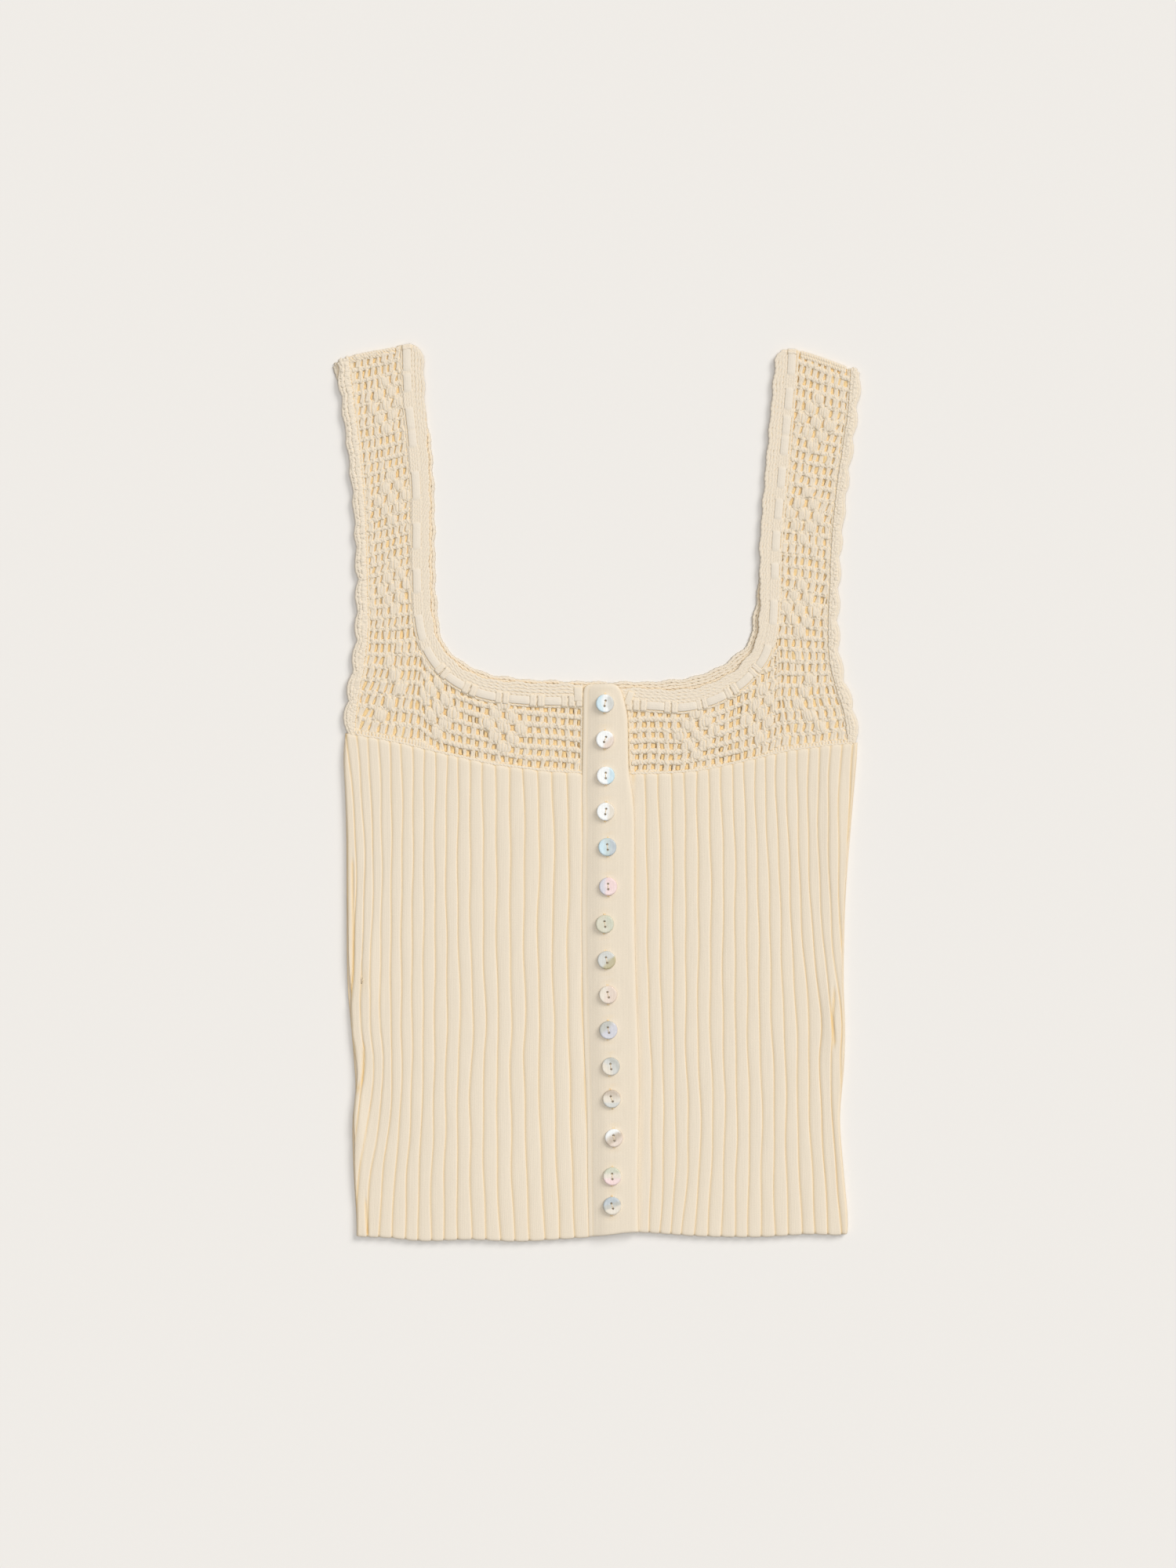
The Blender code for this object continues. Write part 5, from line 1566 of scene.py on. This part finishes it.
def band_grid(rows, left, right, shares):
    """Places across and along of a band, whose last rows bend with the hem."""
    across = between(left, right, shares)
    along = np.repeat(rows[:, None], len(shares), axis=1)
    last = step_up(-along, -(BAND_END + HEM_BEND), -BAND_END)
    return across, along + last * (hem_at(across) - BAND_END)


def strip_area(rows, widths):
    """Area in square metres of a strip with a width at each of its rows, from the top down."""
    return float(np.sum(widths[:-1, 0] * -np.diff(rows))) * MM ** 2


def button_dents(across, along):
    """Depth of the puckers round the buttons, and the painted shade in them."""
    dent, warm = np.zeros(across.shape), np.zeros(across.shape)
    for x, y, *_ in BUTTONS:
        for up in (1, -1):
            spot = bell(across - x, 2.8, along - y - up * DENT_PLACE, 1.1)
            dent += DENT * spot
            warm += DENT_PAINTED_SHADE * spot
        dent -= BUTTON_SWELL * bell(across - x, 6.8, along - y, 7.5)
    return dent, warm


def button_band():
    """Upper band: sewn on at its left, climbing over the under band, puckered at each button."""
    rows = np.concatenate(((BAND[0][0], 63.6, 63.0, 62.0, 60.6, 59.0, 57.4),
                           np.linspace(56.0, BAND_END + 2.0, 150),
                           (BAND_END + 1.0, BAND_END + 0.4, BAND_END)))
    left, right = band_at(rows, 1)[:, None] - BAND_LAP, band_at(rows, 2)[:, None]
    across, along = band_grid(rows, left, right, BAND_SHARES)
    from_left, from_right = across - left, right - across
    from_top, from_hem = rows[0] - along, along - hem_at(across)
    stitched = from_left - BAND_STITCHES
    dent, warm = button_dents(across, along)

    high = BAND_SEWN + BAND_CLIMB * step_up(from_left, 0.3, 13.5)
    high = high - 0.4 * (1 - rounded(from_left, 1.2)) - 0.2 * bell(stitched, 0.5)
    high = high + 0.10 * np.sin(along / 9.0) * np.sin(np.pi * BAND_SHARES) - dent
    edge = rounded(from_right, 2.2) * rounded(np.maximum(from_top, 0.0), 1.6)
    edge = np.clip(edge * (0.45 + 0.55 * rounded(from_hem, 1.1)), 0.12, 1.0)
    bottom = np.maximum(high - BAND_THICKNESS, 2.2)
    bottom = np.where(from_left > ON_UNDER_BAND, np.maximum(bottom, UNDER_TOP), bottom)
    bottom = np.where(from_left < 1.5 * BAND_LAP, 3.25, bottom)
    top = np.maximum(high - BAND_THICKNESS + BAND_THICKNESS * edge, bottom + 0.05)
    # Painted shade in the puckers, along the sewn line and at both edges of the band.
    shade = 0.6 * warm + 0.18 * bell(stitched, 0.45)
    shade = shade + 0.30 * np.exp(-from_right / 0.5) + 0.50 * np.exp(-from_left / 0.4)
    made = cloth_piece("placket_over", BAND_KNIT, "band", across, along, top, bottom,
                       across / BAND_WALE, shade)
    return made, strip_area(rows, right - left)


def under_band():
    """Lower band, which shows only at its ends and edges."""
    rows = np.concatenate(((60.0, 59.4), np.linspace(57.0, BAND_END + 2.0, 60),
                           (BAND_END + 0.8, BAND_END)))
    left = np.full((len(rows), 1), UNDER_LEFT)
    right = np.where(rows > UNDER_BEND, UNDER_RIGHT, band_at(rows, 2) - UNDER_SHORT)[:, None]
    across, along = band_grid(rows, left, right, UNDER_SHARES)
    edge = np.minimum(rounded(np.minimum(across - left, right - across), 0.8),
                      rounded(along - hem_at(across), 0.9))
    top, bottom = 2.2 + 1.85 * (0.4 + 0.6 * edge), np.full(edge.shape, 2.15)
    # A little painted shade all over the band.
    made = cloth_piece("placket_under", BAND_KNIT, "band", across, along, top, bottom,
                       across / BAND_WALE, 0.1)
    return made, strip_area(rows, right - left)


def buttonholes():
    """The ends of the buttonholes, whose stitches show faintly above and below each button."""
    piece = Piece()
    beside, below = np.array((-0.4, 0.4)), np.full(2, -0.6)
    for x, y, *_ in BUTTONS:
        for up in (1, -1):
            centre = np.array((x + rng.normal(0.0, 0.3), y + up * HOLE_END_PLACE))
            starts = centre + np.column_stack((beside, below))
            ends = centre + np.column_stack((beside + rng.normal(0.0, 0.15, 2), -below))
            # The stitches take painted shade, half way to the ochre.
            strokes(piece, starts, ends, height=6.08, radius=0.30, arch=0.08, stations=7, sides=6,
                    squash=0.6, shade=0.5)
    return piece.finish("buttonhole_stitches", YARN, (), "band")


# ---- buttons -----------------------------------------------------------------------------------

def heading(degrees):
    """Unit vector in plan, counted from the right."""
    return np.array((math.cos(math.radians(degrees)), math.sin(math.radians(degrees))))


def add_ring(work, radius, height, angles, offset=0.0):
    """Points of a circle round a place along, as bmesh vertices."""
    return [work.verts.new((radius * math.cos(a), offset + radius * math.sin(a), height))
            for a in angles]


def add_walls(work, rings, inward=False):
    """Faces from each ring to the next one; those of a hole face inwards."""
    for lower, upper in zip(rings, rings[1:]):
        for i in range(len(lower)):
            j = (i + 1) % len(lower)
            a, b = (j, i) if inward else (i, j)
            work.faces.new((lower[a], lower[b], upper[b], upper[a]))


def button_disc(name):
    """A turned disc with a dish and two holes, as a mesh round the origin."""
    work = bmesh.new()
    angles = 2 * np.pi * np.arange(BUTTON_SIDES) / BUTTON_SIDES
    disc = [add_ring(work, *spot, angles) for spot in BUTTON_PROFILE]
    add_walls(work, disc)
    low, high = [disc[0]], [disc[-1]]
    for offset in (HOLE_SPACING / 2, -HOLE_SPACING / 2):
        hole = [add_ring(work, *spot, angles[::3], offset) for spot in HOLE_PROFILE]
        add_walls(work, hole, inward=True)
        low.append(hole[0])
        high.append(hole[-1])
    for rings in (low, high):
        pairs = [pair for ring in rings for pair in zip(ring, ring[1:] + ring[:1])]
        edges = [work.edges.get(pair) or work.edges.new(pair) for pair in pairs]
        bmesh.ops.triangle_fill(work, use_beauty=True, edges=edges)
    bmesh.ops.recalc_face_normals(work, faces=work.faces)
    mesh = bpy.data.meshes.new(name)
    work.to_mesh(mesh)
    work.free()
    return mesh


def button(number, x, y, turn, first, second, third, hue_way):
    """A shell button whose three hues run across it."""
    mesh = button_disc(f"button_{number:02d}_shell")
    points = np.array([v.co for v in mesh.vertices])
    cos, sin = heading(turn)
    placed = np.column_stack((x + points[:, 0] * cos - points[:, 1] * sin,
                              y + points[:, 0] * sin + points[:, 1] * cos,
                              BUTTON_LOW + points[:, 2]))
    t = ((placed[:, :2] - (x, y)) @ heading(hue_way)) / BUTTON_RADIUS
    t = (t + 0.12 * np.sin(3 * points[:, 1] / BUTTON_RADIUS + number))[:, None]
    hues = np.array([SHELL[name] for name in (first, second, third)])
    colour = between(hues[0], hues[1], step_up(t, -0.55, 0.0))
    colour = between(colour, hues[2], step_up(t, 0.15, 0.45))
    from_hole = np.hypot(points[:, 0], np.abs(points[:, 1]) - HOLE_SPACING / 2)
    # Painted shade in the holes.
    colour[from_hole < HOLE_RADIUS + 0.05] = HOLE_SHADE_HUE
    colour = np.column_stack((colour, np.ones(len(colour))))
    mesh.vertices.foreach_set("co", (placed * MM).astype(np.float32).ravel())
    attribute = mesh.color_attributes.new("hue", "FLOAT_COLOR", "POINT")
    attribute.data.foreach_set("color", colour.astype(np.float32).ravel())
    mesh.uv_layers.new(name="UVMap")
    as_part(mesh, PEARL, (f"button_{number:02d}",))
    mesh.set_sharp_from_angle(angle=math.radians(50))


def button_threads():
    """Sewing thread through the two holes of each button."""
    piece = Piece()
    t = np.linspace(-1.0, 1.0, 9)
    sink = np.maximum(np.abs(t) - 0.62, 0.0) / 0.38
    z = BUTTON_LOW + 1.80 + 0.05 * (1 - t * t) - 1.5 * sink ** 1.3
    for x, y, turn, *_ in BUTTONS:
        beside = heading(turn)
        way = np.array((-beside[1], beside[0]))
        for step in (-0.12, 0.12):
            flat = np.array((x, y)) + way * (t * HOLE_SPACING / 2)[:, None] + beside * step
            # The thread takes painted shade where it sinks into a hole.
            add_strands(piece, np.column_stack((flat, z))[None], 0.13, 6, 1.0, 0.1, 2.0,
                        shade=0.9 * sink[None])
    return piece.finish("button_threads", YARN, (), "band")


# ---- the whole ---------------------------------------------------------------------------------

rib, rib_area = back_rib()
for side in (LEFT, RIGHT):
    rib, rib_area = front_rib(side)
snag_loops()
back_yoke()
front_yoke(LEFT)
front_yoke(RIGHT)
over, over_area = button_band()
under, under_area = under_band()
buttonholes()
for button_number, button_row in enumerate(BUTTONS, start=1):
    button(button_number, *button_row)
button_threads()


# ---- floor, light and camera -------------------------------------------------------------------

FLOOR_REACH, SIGHT = 12.0, 60.0      # in metres, so that low views still end on the floor
PHOTO_CENTRE, PHOTO_HEIGHT = (-5.06, 5.06), 920.0
CAMERA_HEIGHT, GARMENT_HEIGHT = 2500.0, 3.0
# A soft key from the upper right and a wide softbox straight above: name, strength, width in
# degrees, turns about X and Y in degrees, colour.
LIGHTS = (
    ("key", 2.1, 28, (-33, 44), (1.0, 0.985, 0.96)),
    ("softbox", 1.36, 45, (0, 0), (1.0, 0.995, 0.985)),
)
SKY_COLOUR, SKY_STRENGTH = (0.97, 0.985, 1.0, 1.0), 0.26


def build_floor():
    mesh = bpy.data.meshes.new("floor")
    a, b = -FLOOR_REACH, FLOOR_REACH
    mesh.from_pydata([(a, a, 0), (b, a, 0), (b, b, 0), (a, b, 0)], [], [(0, 1, 2, 3)])
    mesh.materials.append(floor_material())
    shown("floor", mesh)


def build_light():
    for name, strength, width, (turn_x, turn_y), colour in LIGHTS:
        sun = bpy.data.lights.new(name, "SUN")
        sun.energy, sun.angle, sun.color = strength, math.radians(width), colour
        shown(name, sun).rotation_euler = (math.radians(turn_x), math.radians(turn_y), 0.0)
    world = bpy.data.worlds.new("sky")
    world.use_nodes = True
    background = world.node_tree.nodes["Background"]
    background.inputs["Color"].default_value = SKY_COLOUR
    background.inputs["Strength"].default_value = SKY_STRENGTH
    bpy.context.scene.world = world


def build_camera():
    """Camera straight above, as far away as the photo's perspective looks."""
    camera = bpy.data.cameras.new("camera")
    camera.sensor_width = 36.0
    camera.lens = camera.sensor_width * (CAMERA_HEIGHT - GARMENT_HEIGHT) / PHOTO_HEIGHT
    camera.clip_end = SIGHT
    made = shown("camera", camera)
    made.location = (PHOTO_CENTRE[0] * MM, PHOTO_CENTRE[1] * MM, CAMERA_HEIGHT * MM)
    bpy.context.scene.camera = made


build_floor()
build_light()
build_camera()
bpy.context.scene.view_settings.view_transform = "Standard"
